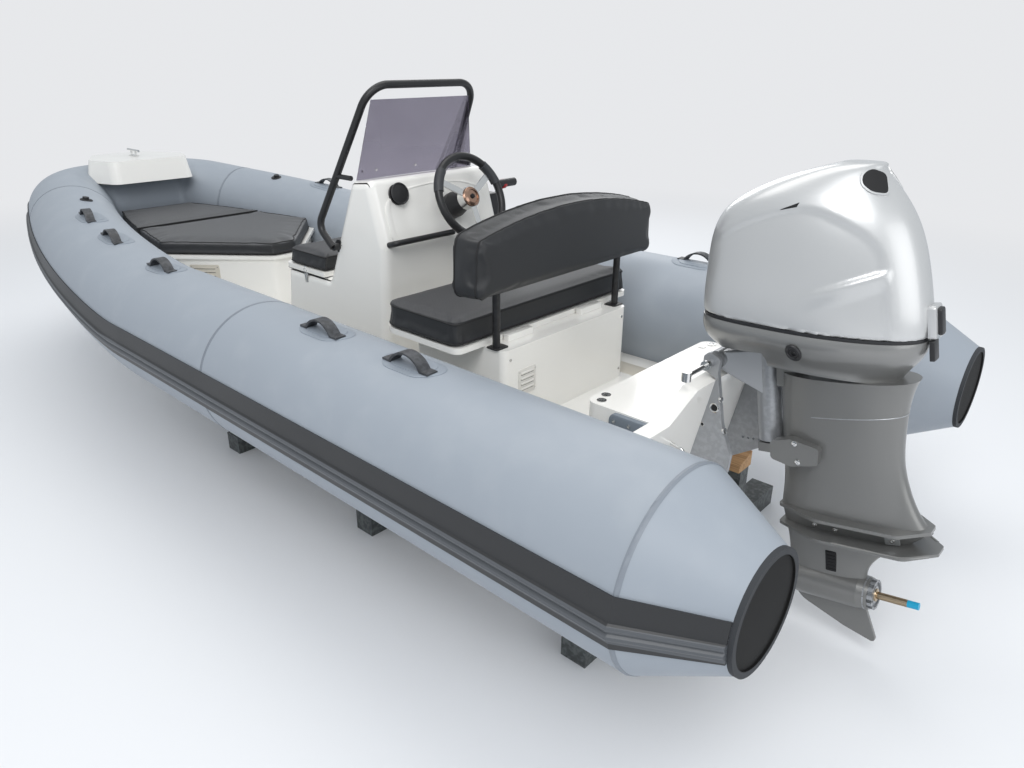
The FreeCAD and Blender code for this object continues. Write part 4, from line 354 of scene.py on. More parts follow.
def makeScreenFinish():
    material, tree, shader = newMaterial("smokedSheet")
    smear = noiseNode(tree, objectPlace(tree), *screenTint["smear"])
    feed(tree, shader, {"Base Color": mixNode(tree, smear, *screenTint["colors"]),
                        "Roughness": spanNode(tree, smear, *screenTint["rough"]),
                        "Transmission Weight": screenTint["clear"], "IOR": screenTint["bend"],
                        "Alpha": screenTint["alpha"]})
    return material


def makeTimberFinish():
    material = makeFinish("sawnTimber", (0.52, 0.31, 0.15), 0.68, grain=300, height=0.0006, cloud=3.0, vary=0.12)
    tree = material.node_tree
    turn = addNode(tree, "Mapping", {"Vector": objectPlace(tree), "Scale": timberGrain["stretch"]})
    rings = noiseNode(tree, turn.outputs["Vector"], *timberGrain["rings"])
    share = mathNode(tree, "MULTIPLY", stepNode(tree, rings, *timberGrain["ringSpan"]), timberGrain["share"])
    return recolor(material, share, timberGrain["color"])


# the frame's own slots first, then the finishes that only this script uses
finishes = {
    "tube": makeTubeFinish(),
    "tube_trim": makeFinish("blackRubber", (0.020, 0.020, 0.022), 0.52, grain=700, height=0.0004, wear=0.4),
    "gelcoat": makeFinish("whiteGelcoat", (0.90, 0.885, 0.845), 0.20, coat=0.4, grain=60, height=0.0001, vary=0.02),
    "upholstery": makeFinish("charcoalVinyl", (0.017, 0.018, 0.020), 0.52, grain=900, height=0.0005, sheen=0.05),
    "stainless": makeFinish("polishedSteel", (0.74, 0.74, 0.73), 0.16, metal=1.0, roughVary=0.06, grain=200,
                            height=0.00003),
    "clear_tint": makeScreenFinish(),
    "black_tube": makeFinish("blackPowderCoat", (0.014, 0.014, 0.015), 0.40, grain=900, height=0.0002, wear=0.3),
    "black_plastic": makeFinish("blackPlastic", (0.016, 0.016, 0.018), 0.42, grain=1200, height=0.0002),
    "engine_silver": makeFinish("silverPaint", (0.58, 0.585, 0.585), 0.34, metal=0.45, coat=0.55, grain=3000,
                                height=0.00002, cloud=1.2, vary=0.025, roughVary=0.04),
    "engine_block": makeFinish("castBlock", (0.20, 0.20, 0.21), 0.6, metal=0.6, grain=300, height=0.0006),
    "shaft_steel": makeFinish("machinedSteel", (0.50, 0.40, 0.28), 0.30, metal=1.0, grain=120, height=0.00005),
    "cap_blue": makeFinish("bluePlastic", (0.01, 0.36, 0.60), 0.40, grain=500, height=0.0002),
    "cradle_steel": makeFinish("darkPaint", (0.045, 0.05, 0.05), 0.5, grain=300, height=0.0003, wear=0.6),
    "cradle_timber": makeTimberFinish(),
    "strake": makeStrakeFinish(),
    "endDisc": makeDiscFinish(),
    "tape": makeFinish("seamTape", (0.215, 0.240, 0.275), 0.46, grain=1400, height=0.0002, vary=0.04),
    "patchFabric": makeFinish("patchFabric", (0.265, 0.300, 0.345), 0.50, grain=1100, height=0.0004, vary=0.05),
    "strap": makeFinish("mouldedStrap", (0.035, 0.037, 0.041), 0.50, grain=900, height=0.0005, wear=0.4),
    "bowVinyl": makeFinish("greyVinyl", (0.062, 0.064, 0.068), 0.55, grain=900, height=0.0006, vary=0.08, sheen=0.08),
    "bowSide": makeFinish("blackVinyl", (0.022, 0.023, 0.025), 0.48, grain=900, height=0.0005),
    "seatWeave": makeFinish("wovenVinyl", (0.036, 0.037, 0.040), 0.55, grain=900, height=0.0007, weave=900.0),
    "thread": makeFinish("stitchThread", (0.012, 0.012, 0.013), 0.7, grain=2500, height=0.0003),
    "beige": makeFinish("matGelcoat", (0.62, 0.58, 0.50), 0.34, coat=0.15, grain=90, height=0.0002, vary=0.03),
    "vent": makeFinish("ventPlastic", (0.74, 0.72, 0.68), 0.38, grain=800, height=0.0001),
    # near-black: painted shade on the sheets laid in openings, and the own colour of the hub cap's nut
    "darkAndPaintedShade": makeFinish("darkPartsAndPaintedShade", (0.006, 0.006, 0.007), 0.7, grain=400, height=0.0002),
    "red": makeFinish("redPlastic", (0.45, 0.012, 0.015), 0.35, grain=600, height=0.0001),
    "bronze": makeFinish("warmHub", (0.42, 0.27, 0.20), 0.24, metal=1.0, grain=300, height=0.00004),
    "dial": makeFinish("dialFace", (0.012, 0.012, 0.013), 0.5, grain=900, height=0.0001),
    # the ledge flaps: tube-like fabric, its colour darkened as painted shade
    "flapPaintedShade": makeFinish("blueGreyFlapPaintedShade", (0.175, 0.205, 0.240), 0.55, grain=500, height=0.0005, vary=0.06),
    # the leg and the pan: the cowl's silver paint, darkened as painted shade
    "legSilverPaintedShade": makeFinish("legSilverPaintedShade", (0.20, 0.20, 0.195), 0.38, metal=0.50, coat=0.40, grain=3000,
                            height=0.0001, vary=0.05),
    "panSilverPaintedShade": makeFinish("panSilverPaintedShade", (0.24, 0.24, 0.235), 0.34, metal=0.45, coat=0.5, grain=3000,
                            height=0.0001, vary=0.05),
    "castGrey": makeFinish("greyCasting", (0.36, 0.37, 0.385), 0.38, metal=0.55, coat=0.2, grain=500,
                           height=0.0002, wear=0.5),
    "zinc": makeFinish("zincBlock", (0.42, 0.43, 0.43), 0.62, metal=0.7, grain=700, height=0.0005, vary=0.12),
}
# solids whose finish isn't simply their slot's; the leg's and the pan's silver is the cowl's paint, darkened as
# painted shade
dressed = {
    "rub_strake": "strake", "tube_end_discs": "endDisc", "tube_handles": "strap", "clamp_bracket": "castGrey",
    "swivel_bracket": "castGrey", "midsection": "legSilverPaintedShade", "mount_covers": "legSilverPaintedShade", "gearcase": "legSilverPaintedShade",
    "cowl_pan": "panSilverPaintedShade",
}


def dress(piece, *names):
    piece.data.materials.clear()
    for name in names:
        piece.data.materials.append(finishes[name])


def dressFrame():
    slotOf = {entry["node"]: entry["material_slot"] for entry in frame["record"]["subparts"]}
    for name, piece in nodes.items():
        dress(piece, dressed.get(name, slotOf[name]))


makeCamera()
makeStage()
dressFrame()
print("camera, light and finishes made")


# Small helpers, one for each step done by hand

def rest():
    if bpy.context.object and bpy.context.object.mode != "OBJECT":
        bpy.ops.object.mode_set(mode="OBJECT")
    bpy.ops.object.select_all(action="DESELECT")


def wake(piece):
    rest()
    bpy.context.view_layer.objects.active = piece
    piece.select_set(True)


def editAll(piece):
    wake(piece)
    bpy.ops.object.mode_set(mode="EDIT")
    bpy.ops.mesh.select_all(action="SELECT")


def pick(piece, kind, test):
    wake(piece)
    bpy.ops.object.mode_set(mode="EDIT")
    bpy.ops.mesh.select_mode(type=kind)
    bpy.ops.mesh.select_all(action="DESELECT")
    mesh = bmesh.from_edit_mesh(piece.data)
    for part in {"VERT": mesh.verts, "FACE": mesh.faces}[kind]:
        if test(part):
            part.select_set(True)
    bmesh.update_edit_mesh(piece.data)


def isTop(face):
    return face.normal.z > 0.9


def isEnd(face):
    return abs(face.normal.z) > 0.9


def isSide(face):
    return abs(face.normal.z) < 0.3


def bevel(offset, affect="EDGES", segments=2):
    bpy.ops.mesh.bevel(offset=offset, segments=segments, affect=affect)


def push(depth):
    bpy.ops.mesh.extrude_region_move(TRANSFORM_OT_translate={"value": (0, 0, depth)})


def insetPush(inset, depth):
    bpy.ops.mesh.inset(thickness=inset)
    push(depth)


def newObject(name, data):
    piece = bpy.data.objects.new(name, data)
    bpy.context.collection.objects.link(piece)
    return piece


def applyPlace(piece):
    wake(piece)
    bpy.ops.object.transform_apply(location=True, rotation=True, scale=True)


def putAt(piece, *place):
    piece.location = place
    applyPlace(piece)
    return piece


def begin(kind, name, place=(0, 0, 0), size=(1, 1, 1), turn=(0, 0, 0), **more):
    rest()
    make, given = {
        "cube": (bpy.ops.mesh.primitive_cube_add, {"size": 1}),
        "plane": (bpy.ops.mesh.primitive_plane_add, {"size": 1}),
        "cylinder": (bpy.ops.mesh.primitive_cylinder_add, {"radius": 0.5, "depth": 1}),
        "ring": (bpy.ops.mesh.primitive_torus_add, {}),
    }[kind]
    make(location=place, rotation=turn, **given, **more)
    piece = bpy.context.object
    piece.name = name
    piece.scale = size
    applyPlace(piece)
    return piece


def ringAt(name, major, minor, around, along):
    return begin("ring", name, major_radius=major, minor_radius=minor, major_segments=around, minor_segments=along)


def addModifier(piece, kind, **values):
    wake(piece)
    modifier = piece.modifiers.new(kind.lower(), kind)
    for key, value in values.items():
        setattr(modifier, key, value)
    bpy.ops.object.modifier_apply(modifier=modifier.name)


def axesFrom(across, outward):
    outward = Vector(outward).normalized()
    across = Vector(across)
    across = (across - outward * across.dot(outward)).normalized()
    return across, outward.cross(across), outward


def seat(piece, origin, across, outward):
    # a piece modelled flat at the origin goes to its place: local x along across, local z outward
    turned = Matrix(axesFrom(across, outward)).transposed().to_4x4()
    piece.matrix_world = Matrix.Translation(origin) @ turned @ piece.matrix_world
    applyPlace(piece)
    return piece


def roundedSlab(name, length, width, thick, corner, edge=0.0015, steps=5, base=0.0):
    slab = begin("plane", name, place=(0, 0, base), size=(length, width, 1))
    editAll(slab)
    bevel(corner, "VERTICES", steps)
    bpy.ops.mesh.select_all(action="SELECT")
    push(thick)
    pick(slab, "FACE", lambda f: isTop(f) and f.calc_center_median().z > base + thick * 0.9)
    if edge:
        bevel(min(edge, thick * 0.45))
    rest()
    return slab


# a screw's edge, driver socket and the socket's depth, as shares of its radius and rise
screwShares = {"edge": 0.35, "socket": 0.45, "depth": 0.6}


def softDrum(name, width, length, vertices, soft, test=isEnd, place=(0, 0, 0)):
    # a short cylinder with the edges of the chosen faces softened
    drum = begin("cylinder", name, place=place, size=(width, width, length), vertices=vertices)
    pick(drum, "FACE", test)
    bevel(soft)
    rest()
    return drum


def softNut(name, width, length, soft, place=(0, 0, 0)):
    nut = begin("cylinder", name, place=place, size=(width, width, length), vertices=6)
    editAll(nut)
    bevel(soft)
    rest()
    return nut


def screwHead(name, origin, outward, radius=0.004, rise=0.0022, socket=True):
    screw = softDrum(name, radius * 2, rise, 20, rise * screwShares["edge"], isTop, (0, 0, rise / 2))
    if socket:
        pick(screw, "FACE", lambda f: isTop(f) and f.calc_area() > radius * radius)
        insetPush(radius * screwShares["socket"], -rise * screwShares["depth"])
        rest()
    side = (1, 0, 0) if abs(Vector(outward).normalized().x) < 0.8 else (0, 1, 0)
    return seat(screw, origin, side, outward)


def joinAll(name, pieces):
    rest()
    for piece in pieces:
        piece.select_set(True)
    bpy.context.view_layer.objects.active = pieces[0]
    if len(pieces) > 1:
        bpy.ops.object.join()
    pieces[0].name = name
    return pieces[0]


def done(name, pieces, body, slot, finish="", smooth=35):
    # joined, smoothed, dressed in its slot's finish or the one named, and set on its body
    whole = joinAll(name, pieces)
    applyPlace(whole)
    bpy.ops.object.shade_smooth_by_angle(angle=math.radians(smooth))
    if finish != "mixed":
        dress(whole, finish or slot)
    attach(whole, body)
    return whole


def pipe(name, points, radius, closed=False, kind="POLY", round=3):
    curve = bpy.data.curves.new(name, "CURVE")
    curve.dimensions = "3D"
    curve.bevel_depth = radius
    curve.bevel_resolution = round
    curve.resolution_u = 8
    curve.use_fill_caps = True
    line = curve.splines.new(kind)
    if kind == "BEZIER":
        line.bezier_points.add(len(points) - 1)
        for knot, point in zip(line.bezier_points, points):
            knot.co = point
            knot.handle_left_type = knot.handle_right_type = "AUTO"
    else:
        line.points.add(len(points) - 1)
        for knot, point in zip(line.points, points):
            knot.co = (*point, 1)
        if kind == "NURBS":
            line.order_u = 3
            line.use_endpoint_u = not closed
    line.use_cyclic_u = closed
    wake(newObject(name, curve))
    bpy.ops.object.convert(target="MESH")
    return bpy.context.object


def meshCopy(name, node):
    piece = newObject(name, nodes[node].data.copy())
    piece.data.materials.clear()
    editAll(piece)
    bpy.ops.mesh.remove_doubles(threshold=0.0002)
    rest()
    return piece


def sectionPipe(piece, point, normal, radius, keep=None, round=2):
    # a cord of trim where a plane cuts the piece, which is used up
    piece.data.materials.clear()
    editAll(piece)
    bpy.ops.mesh.bisect(plane_co=point, plane_no=normal, clear_outer=True, clear_inner=True)
    if keep:
        pick(piece, "VERT", lambda v: not keep(v.co))
        bpy.ops.mesh.delete(type="VERT")
    bpy.ops.mesh.select_all(action="SELECT")
    bpy.ops.mesh.remove_doubles(threshold=0.001)
    wake(piece)
    bpy.ops.object.convert(target="CURVE")
    cord = bpy.context.object
    cord.data.bevel_depth = radius
    cord.data.bevel_resolution = round
    wake(cord)
    bpy.ops.object.convert(target="MESH")
    return bpy.context.object


def treeOf(piece):
    mesh = bmesh.new()
    mesh.from_mesh(piece.data)
    tree = BVHTree.FromBMesh(mesh)
    mesh.free()
    return tree


surfaces = {}


def onSurface(name, start, toward):
    # where a ray meets a solid, with the normal that faces the ray
    if name not in surfaces:
        surfaces[name] = treeOf(nodes[name])
    toward = Vector(toward).normalized()
    hit, normal, index, distance = surfaces[name].ray_cast(Vector(start), toward)
    if hit is not None and normal.dot(toward) > 0:
        normal = -normal
    return hit, normal


def roundedShape(corners, radius, steps=6):
    # a flat outline with its corners rounded
    shape = []
    for index, corner in enumerate(corners):
        here = Vector(corner)
        back = Vector(corners[index - 1]) - here
        ahead = Vector(corners[(index + 1) % len(corners)]) - here
        reach = min(radius, back.length * 0.49, ahead.length * 0.49)
        start, end = here + back.normalized() * reach, here + ahead.normalized() * reach
        for step in range(steps + 1):
            t = step / steps
            shape.append(start * (1 - t) ** 2 + here * 2 * t * (1 - t) + end * t ** 2)
    return shape


def boxShape(halfLength, halfWidth, radius, steps):
    return roundedShape([(-halfLength, -halfWidth), (halfLength, -halfWidth), (halfLength, halfWidth),
                         (-halfLength, halfWidth)], radius, steps)


# how a patch meets its surface: buried foot, eased edge, inner lip and lean of its height
patchEdge = {"bury": 0.001, "share": 0.985, "rise": 0.7, "lip": [0.93, 0.91], "lean": 0.4}


def layPatch(name, node, outline, origin, across, outward, thick, rings=7, reach=0.2, lip=0.0):
    # a thin sheet of any flat outline, laid on a curved surface like a glued patch
    across, up, outward = axesFrom(across, outward)
    middle = sum((Vector(p) for p in outline), Vector((0, 0))) / len(outline)
    mesh = bmesh.new()

    def lay(flat, height):
        start = Vector(origin) + across * flat.x + up * flat.y + outward * reach
        hit, normal = onSurface(node, start, -outward)
        if hit is None:
            hit, normal = start - outward * reach, outward
        lean = patchEdge["lean"]
        return mesh.verts.new(hit + (normal * (1 - lean) + outward * lean).normalized() * height)

    shares = [1.0, 1.0, patchEdge["share"]]
    heights = [-patchEdge["bury"], thick * patchEdge["rise"], thick]
    if lip:
        shares += patchEdge["lip"]
        heights += [thick, thick - lip]
    inner = [1 - (ring + 1) / rings for ring in range(rings - 1)]
    shares += inner
    heights += [thick - lip] * len(inner)
    loops = []
    for share, height in zip(shares, heights):
        loops.append([lay(middle + (Vector(p) - middle) * share, height) for p in outline])
    top = lay(middle, heights[-1])
    for index in range(len(outline)):
        after = (index + 1) % len(outline)
        for low, high in zip(loops, loops[1:]):
            mesh.faces.new((low[index], low[after], high[after], high[index]))
        mesh.faces.new((loops[-1][index], loops[-1][after], top))
    mesh.faces.new(list(reversed(loops[0])))
    bmesh.ops.recalc_face_normals(mesh, faces=mesh.faces)
    data = bpy.data.meshes.new(name)
    mesh.to_mesh(data)
    mesh.free()
    return newObject(name, data)


sides = ((1, "port"), (-1, "starboard"))


# Air collar

collar = {
    "tapeWidth": 0.012,
    "tapeThick": 0.0008,
    "seamX": 1.30,
    "coneX": -0.390,
    "bowJoint": (3.650, 0.515, 0.767),
    "bowAlong": (0.949, -0.298, 0.098),
    "patchHalf": (0.125, 0.060),
    "patchWaist": 0.62,
    "patchCorner": 0.045,
    "patchThick": 0.0022,
    "patchTop": 0.72,
    "patchLean": 0.05,
    "handles": ((0.478, 0.774, 0.870), (0.893, 0.770, 0.870), (2.007, 0.759, 0.871), (2.548, 0.727, 0.902),
                (2.944, 0.673, 0.935)),
    "bend": (2.15, 1.7, 0.22, 0.098),
    "valve": (3.293, 0.560, 0.965),
    "valveRing": (0.027, 0.0035),
    "valveLean": (0.05, 0.12),
    "valveRise": 0.001,
}


def makeTapes():
    half = collar["tapeWidth"] / 2
    ahead = Vector((1, 0, 0))
    tapes = []
    for sign, side in sides:
        joint, along = Vector(collar["bowJoint"]), Vector(collar["bowAlong"]).normalized()
        joint.y *= sign
        along.y *= sign
        seam, cone = ahead * collar["seamX"], ahead * collar["coneX"]
        aft, forward = "tube_%s_aft" % side, "tube_%s_forward" % side
        for node, place, way, start, end in (
                (forward, seam, ahead, 0, half), (aft, seam, ahead, -half, 0), (aft, cone, ahead, -half, half),
                (forward, joint, along, -half, 0), ("tube_bow", joint, along, 0, half)):
            cuts = [(place + way * end, way), (place + way * start, -way)]
            if node == "tube_bow":
                cuts.append(((0, 0, 0), (0, -sign, 0)))
            tape = meshCopy("tape", node)
            for point, away in cuts:
                editAll(tape)
                bpy.ops.mesh.bisect(plane_co=point, plane_no=away, clear_outer=True)
            # the chambers' closed ends lie across the tape and go
            pick(tape, "FACE", lambda f: abs(f.normal.dot(way)) > 0.9)
            bpy.ops.mesh.delete(type="FACE")
            addModifier(tape, "SOLIDIFY", thickness=collar["tapeThick"], offset=1.0)
            tapes.append(tape)
    done("seamTapes", tapes, "root", "tube", "tape")


def makeHandlePatches():
    length, width = collar["patchHalf"]
    waist = length * collar["patchWaist"]
    shape = roundedShape([(length, 0), (waist, width), (-waist, width), (-length, 0), (-waist, -width),
                          (waist, -width)], collar["patchCorner"])
    bendFrom, bendLength, inward, climb = collar["bend"]
    patches = []
    for x, y, z in collar["handles"]:
        part = "aft" if x < collar["seamX"] else "forward"
        bend = inward * max(0.0, x - bendFrom) / bendLength
        for sign, side in sides:
            across = (1, -bend * sign, climb if x > bendFrom else 0)
            for share, thick in ((1, collar["patchThick"]), (collar["patchTop"], collar["patchThick"] * 2)):
                patches.append(layPatch("patch", "tube_%s_%s" % (side, part), [p * share for p in shape],
                                        (x, y * sign, z), across, (0, collar["patchLean"] * sign, 1), thick))
    done("handlePatches", patches, "root", "tube_trim", "patchFabric")


def makeValves():
    x, y, z = collar["valve"]
    ahead, outboard = collar["valveLean"]
    rings = []
    for sign, side in sides:
        outward = Vector((ahead, outboard * sign, 1)).normalized()
        hit, normal = onSurface("tube_%s_forward" % side, Vector((x, y * sign, z)) + outward * 0.2, -outward)
        ring = ringAt("ring", *collar["valveRing"], 40, 8)
        rings.append(seat(ring, hit + normal * collar["valveRise"], (1, 0, 0), normal))
    done("valveCollars", rings, "root", "tube_trim")


makeTapes()
makeHandlePatches()
makeValves()
print("collar dressed")


# Cushions: swollen by simulation, then seamed and piped

deckPad = {"body": "root", "shrink": 0.004, "fill": 0.85, "top": (0, 0, 1), "seams": (0.792, 0.745),
           "finish": "bowVinyl", "sides": "bowSide"}
pads = {
    "bowMainCushion": {**deckPad, "node": "bow_cushion_main", "voxel": 0.011, "cap": 0.010},
    "bowFrontCushion": {**deckPad, "node": "bow_cushion_front", "voxel": 0.010, "cap": 0.008},
    "consoleCushion": {"node": "console_cushion", "body": "console_seat", "voxel": 0.007, "cap": 0.009,
                       "shrink": 0.004, "fill": 0.85, "top": (0, 0, 1), "seams": (0.897, 0.850),
                       "finish": "seatWeave", "sides": "upholstery"},
    "helmCushion": {"node": "helm_cushion", "body": "helm_lid", "voxel": 0.008, "cap": 0.010, "shrink": 0.005,
                    "fill": 0.85, "top": (0, 0, 1), "seams": (0.868, 0.803), "finish": "seatWeave",
                    "sides": "upholstery"},
    "backrestPad": {"node": "backrest", "body": "root", "voxel": 0.008, "cap": 0.012, "shrink": 0.006,
                    "fill": 0.8, "top": (-1, 0, 0), "seams": (0.534, 0.618), "finish": "upholstery",
                    "sides": "upholstery"},
}
stuffing = {"pressure": 4.0, "frames": 20, "stiffness": 12.0, "bending": 2.0, "held": 0.75, "piping": 0.0032,
            "topFrom": 0.72}


def swell(pad, cap, resting):
    start = [vertex.co.copy() for vertex in pad.data.vertices]
    held = pad.vertex_groups.new(name="held")
    held.add([vertex.index for vertex in pad.data.vertices if vertex.normal.dot(resting) > stuffing["held"]],
             1.0, "REPLACE")
    wake(pad)
    cloth = pad.modifiers.new("stuffing", "CLOTH")
    settings = cloth.settings
    settings.use_pressure = True
    settings.uniform_pressure_force = stuffing["pressure"]
    settings.effector_weights.gravity = 0
    settings.tension_stiffness = settings.compression_stiffness = stuffing["stiffness"]
    settings.bending_stiffness = stuffing["bending"]
    settings.vertex_group_mass = "held"
    cloth.point_cache.frame_start = 1
    cloth.point_cache.frame_end = stuffing["frames"]
    for number in range(1, stuffing["frames"] + 1):
        bpy.context.scene.frame_set(number)
    bpy.ops.object.modifier_apply(modifier=cloth.name)
    bpy.context.scene.frame_set(1)
    pad.vertex_groups.remove(pad.vertex_groups["held"])
    for vertex, before in zip(pad.data.vertices, start):
        moved = vertex.co - before
        if moved.length > cap:
            vertex.co = before + moved.normalized() * cap


def makePad(name, values):
    top = Vector(values["top"])
    pad = meshCopy(name, values["node"])
    addModifier(pad, "REMESH", mode="VOXEL", voxel_size=values["voxel"])
    addModifier(pad, "DISPLACE", strength=-values["shrink"], mid_level=0.0)
    addModifier(pad, "SMOOTH", factor=0.5, iterations=4)
    swell(pad, values["cap"], -top)
    addModifier(pad, "SMOOTH", factor=0.5, iterations=3)
    addModifier(pad, "SUBSURF", levels=1, render_levels=1)
    dress(pad, values["sides"], values["finish"])
    for face in pad.data.polygons:
        if face.normal.dot(top) > stuffing["topFrom"]:
            face.material_index = 1
    wake(pad)
    bpy.ops.object.shade_smooth()
    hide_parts(values["node"])
    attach(pad, values["body"])
    upright = Vector([abs(part) for part in top])
    cords = [sectionPipe(newObject("piping", pad.data.copy()), upright * level, top, stuffing["piping"])
             for level in values["seams"]]
    done(name + "Piping", cords, values["body"], "upholstery", "thread")


for padName, padValues in pads.items():
    makePad(padName, padValues)
    print("padded:", padName)


# Deck, bow and locker

bow = {
    "ventPlace": (1.905, 0.555, 0.630),
    "ventWay": (1, -0.35, 0),
    "ventSize": (0.150, 0.110),
    "ventSlots": 5,
    "stripSize": (2.1, 0.100, 0.0012, 0.03),
    "stripPlace": (1.14, 0.425, 0.4803),
    "stripEdge": 0.0004,
}
vent = {
    "thick": 0.0035,
    "corner": 0.008,
    "slot": (0.72, 0.34, 0.15),
    "slotThick": 0.0003,
    "hood": (0.74, 0.26, 0.0034),
    "hoodRise": 0.27,
    "hoodLevel": 0.0048,
    "hoodLean": 0.16,
    "screws": (0.44, 0.40),
    "screw": (0.0026, 0.0012),
    "edge": 0.0012,
    "hoodEdge": 0.0008,
    "sink": 0.0004,
}


def makeVent(name, node, start, toward, length, height, slots, plate):
    # a moulded cover with sloping slots, each with a hood over it
    cover = roundedSlab(name, length, height, vent["thick"], vent["corner"], edge=vent["edge"])
    dress(cover, plate)
    pieces = [cover]
    pitch = height / (slots + 1)
    slotLength, slotHeight, slotCorner = vent["slot"]
    hoodLength, hoodHeight, hoodThick = vent["hood"]
    for index in range(slots):
        level = pitch * (index + 1) - height / 2
        # each slot is a thin near-black sheet on the cover, painted shade for the opening
        hole = roundedSlab("slot", length * slotLength, pitch * slotHeight, vent["slotThick"], pitch * slotCorner,
                           edge=0, base=vent["thick"])
        dress(putAt(hole, 0, level, 0), "darkAndPaintedShade")
        hood = begin("cube", "hood", place=(0, level + pitch * vent["hoodRise"], vent["hoodLevel"]),
                     size=(length * hoodLength, pitch * hoodHeight, hoodThick))
        pick(hood, "FACE", isTop)
        bpy.ops.transform.translate(value=(0, -pitch * vent["hoodLean"], 0))
        bpy.ops.mesh.select_all(action="SELECT")
        bevel(vent["hoodEdge"])
        rest()
        dress(hood, plate)
        pieces += [hole, hood]
    x, y = vent["screws"]
    for right, up in ((-x, -y), (-x, y), (x, -y), (x, y)):
        screw = screwHead("screw", (length * right, height * up, vent["thick"]), (0, 0, 1), *vent["screw"])
        dress(screw, "stainless")
        pieces.append(screw)
    hit, normal = onSurface(node, start, toward)
    whole = seat(joinAll(name, pieces), hit - normal * vent["sink"], Vector((0, 0, 1)).cross(normal), normal)
    done(name, [whole], "root", "gelcoat", "mixed")


def makeBowVents():
    x, y, z = bow["ventPlace"]
    ahead, inward, level = bow["ventWay"]
    for sign, side in sides:
        makeVent("bowVent" + side.title(), "bow_locker", (x, y * sign, z), (ahead, inward * sign, level),
                 *bow["ventSize"], bow["ventSlots"], "beige")


def makeSoleStrips():
    # shallow raised strips along the cockpit sole
    x, y, z = bow["stripPlace"]
    strips = [putAt(roundedSlab("strip", *bow["stripSize"], edge=bow["stripEdge"]), x, y * sign, z)
              for sign, side in sides]
    done("soleStrips", strips, "root", "gelcoat", "beige")


makeBowVents()
makeSoleStrips()
print("deck dressed")


# Console, dash and screen

console = {
    "panelFoot": 1.035,
    "panelHalf": 0.268,
    "panelHeight": 0.168,
    "panelDrop": 0.030,
    "panelArch": ((0.55, 1.02), (0, 1.08)),
    "panelShoulder": 0.78,
    "panelCorner": 0.050,
    "panelThick": 0.0034,
    "panelLip": 0.0016,
    "gauge": (1.2000, 0.195, 1.1870),
    "gaugeRing": (0.0375, 0.0035),
    "dialSize": 0.070,
    "dialThick": 0.0015,
    "dialEdge": 0.0004,
    "dialSink": 0.0006,
    "discGap": 0.0001,
    "cornerBead": (0.034, 0.2760),
    "beadY": 0.20,
    "beadGap": 0.0002,
    "beadRise": 0.026,
    "beadHeights": (0.500, 0.600, 0.700, 0.800, 0.900, 0.980, 1.020, 1.100, 1.195),
    "latch": (1.700, 0.3105, 0.802),
    # length, width, thickness, corner, then how far along the plate
    "latchPlate": (0.022, 0.052, 0.0016, 0.005),
    "latchLever": (0.014, 0.030, 0.003, 0.004),
    "latchHook": (0.018, 0.014, 0.004, 0.003),
    "latchAlong": (-0.004, 0.036),
    "leverBase": 0.0022,
    "latchWire": 0.0013,
    "latchScrews": (-0.021, 0.019),
    "latchScrew": (0.0022, 0.001),
    "latchLoop": ((-0.006, 0.012, 0.003), (-0.006, 0.034, 0.005), (0.006, 0.034, 0.005), (0.006, 0.012, 0.003)),
    "screenBolts": ((1.300, 1.262), (1.325, 1.262)),
    "screenFront": (-0.2, 0.0, 0.2),
    "screenBolt": (0.005, 0.003),
    "hoopFoot": (1.452, 0.968),
    "footSize": 0.052,
    "footThick": 0.004,
    "footSink": 0.0005,
    "footScrews": (0.020, (45, 165, 285)),
    "footScrew": (0.0026, 0.0012),
    "leverCollar": (0.020, 0.068, -0.020),
    "leverDrum": (0.040, 0.022, 32, 0.003),
    "gasketLevel": 0.8195,
    "gasketRadius": 0.0012,
}
wheel = {
    "hub": (1.085, -0.062, 1.158),
    "tilt": 24.0,
    "grip": 0.0172,
    "wraps": (60, 180, 300),
    "wrapStep": 3.2,
    "wrapSwell": 1.10,
    "seamInset": 0.97,
    "capSize": 0.074,
    "capThick": 0.010,
    "capRings": ((0.010, -0.003), (0.012, 0.003)),
    "capEdge": 0.003,
    "capSoft": 0.001,
    "capSink": 0.002,
    "capGap": 0.0001,
    "nut": (0.020, 0.006, 0.0012),
    "nutRise": 0.012,
    "seamRadius": 0.0013,
}


def dashPoint(y, z):
    return onSurface("console", (0.6, y, z), (1, 0, 0))


def makeDashPanel():
    # the moulded instrument field with its arched top
    low, normal = dashPoint(0.0, console["panelFoot"])
    half, height, drop = console["panelHalf"], console["panelHeight"], -console["panelDrop"]
    shoulder = height * console["panelShoulder"]
    (bendX, bendY), (topX, topY) = console["panelArch"]
    corners = [(-half, drop), (half, drop), (half, shoulder), (half * bendX, height * bendY),
               (half * topX, height * topY), (-half * bendX, height * bendY), (-half, shoulder)]
    panel = layPatch("panel", "console", roundedShape(corners, console["panelCorner"]), low, (0, -1, 0), normal,
                     console["panelThick"], rings=9, lip=console["panelLip"])
    done("dashPanel", [panel], "root", "gelcoat")


def makeGauge():
    place = Vector(console["gauge"])
    normal = dashPoint(place.y, place.z)[1]
    size = console["dialSize"]
    bezel = seat(ringAt("bezel", *console["gaugeRing"], 56, 10), place, (0, 1, 0), normal)
    face = roundedSlab("dial", size, size, console["dialThick"], size / 2 - console["discGap"],
                       edge=console["dialEdge"], steps=12)
    seat(face, place - normal * console["dialSink"], (0, 1, 0), normal)
    dress(bezel, "black_plastic")
    dress(face, "dial")
    done("gaugeFace", [bezel, face], "root", "black_plastic", "mixed")


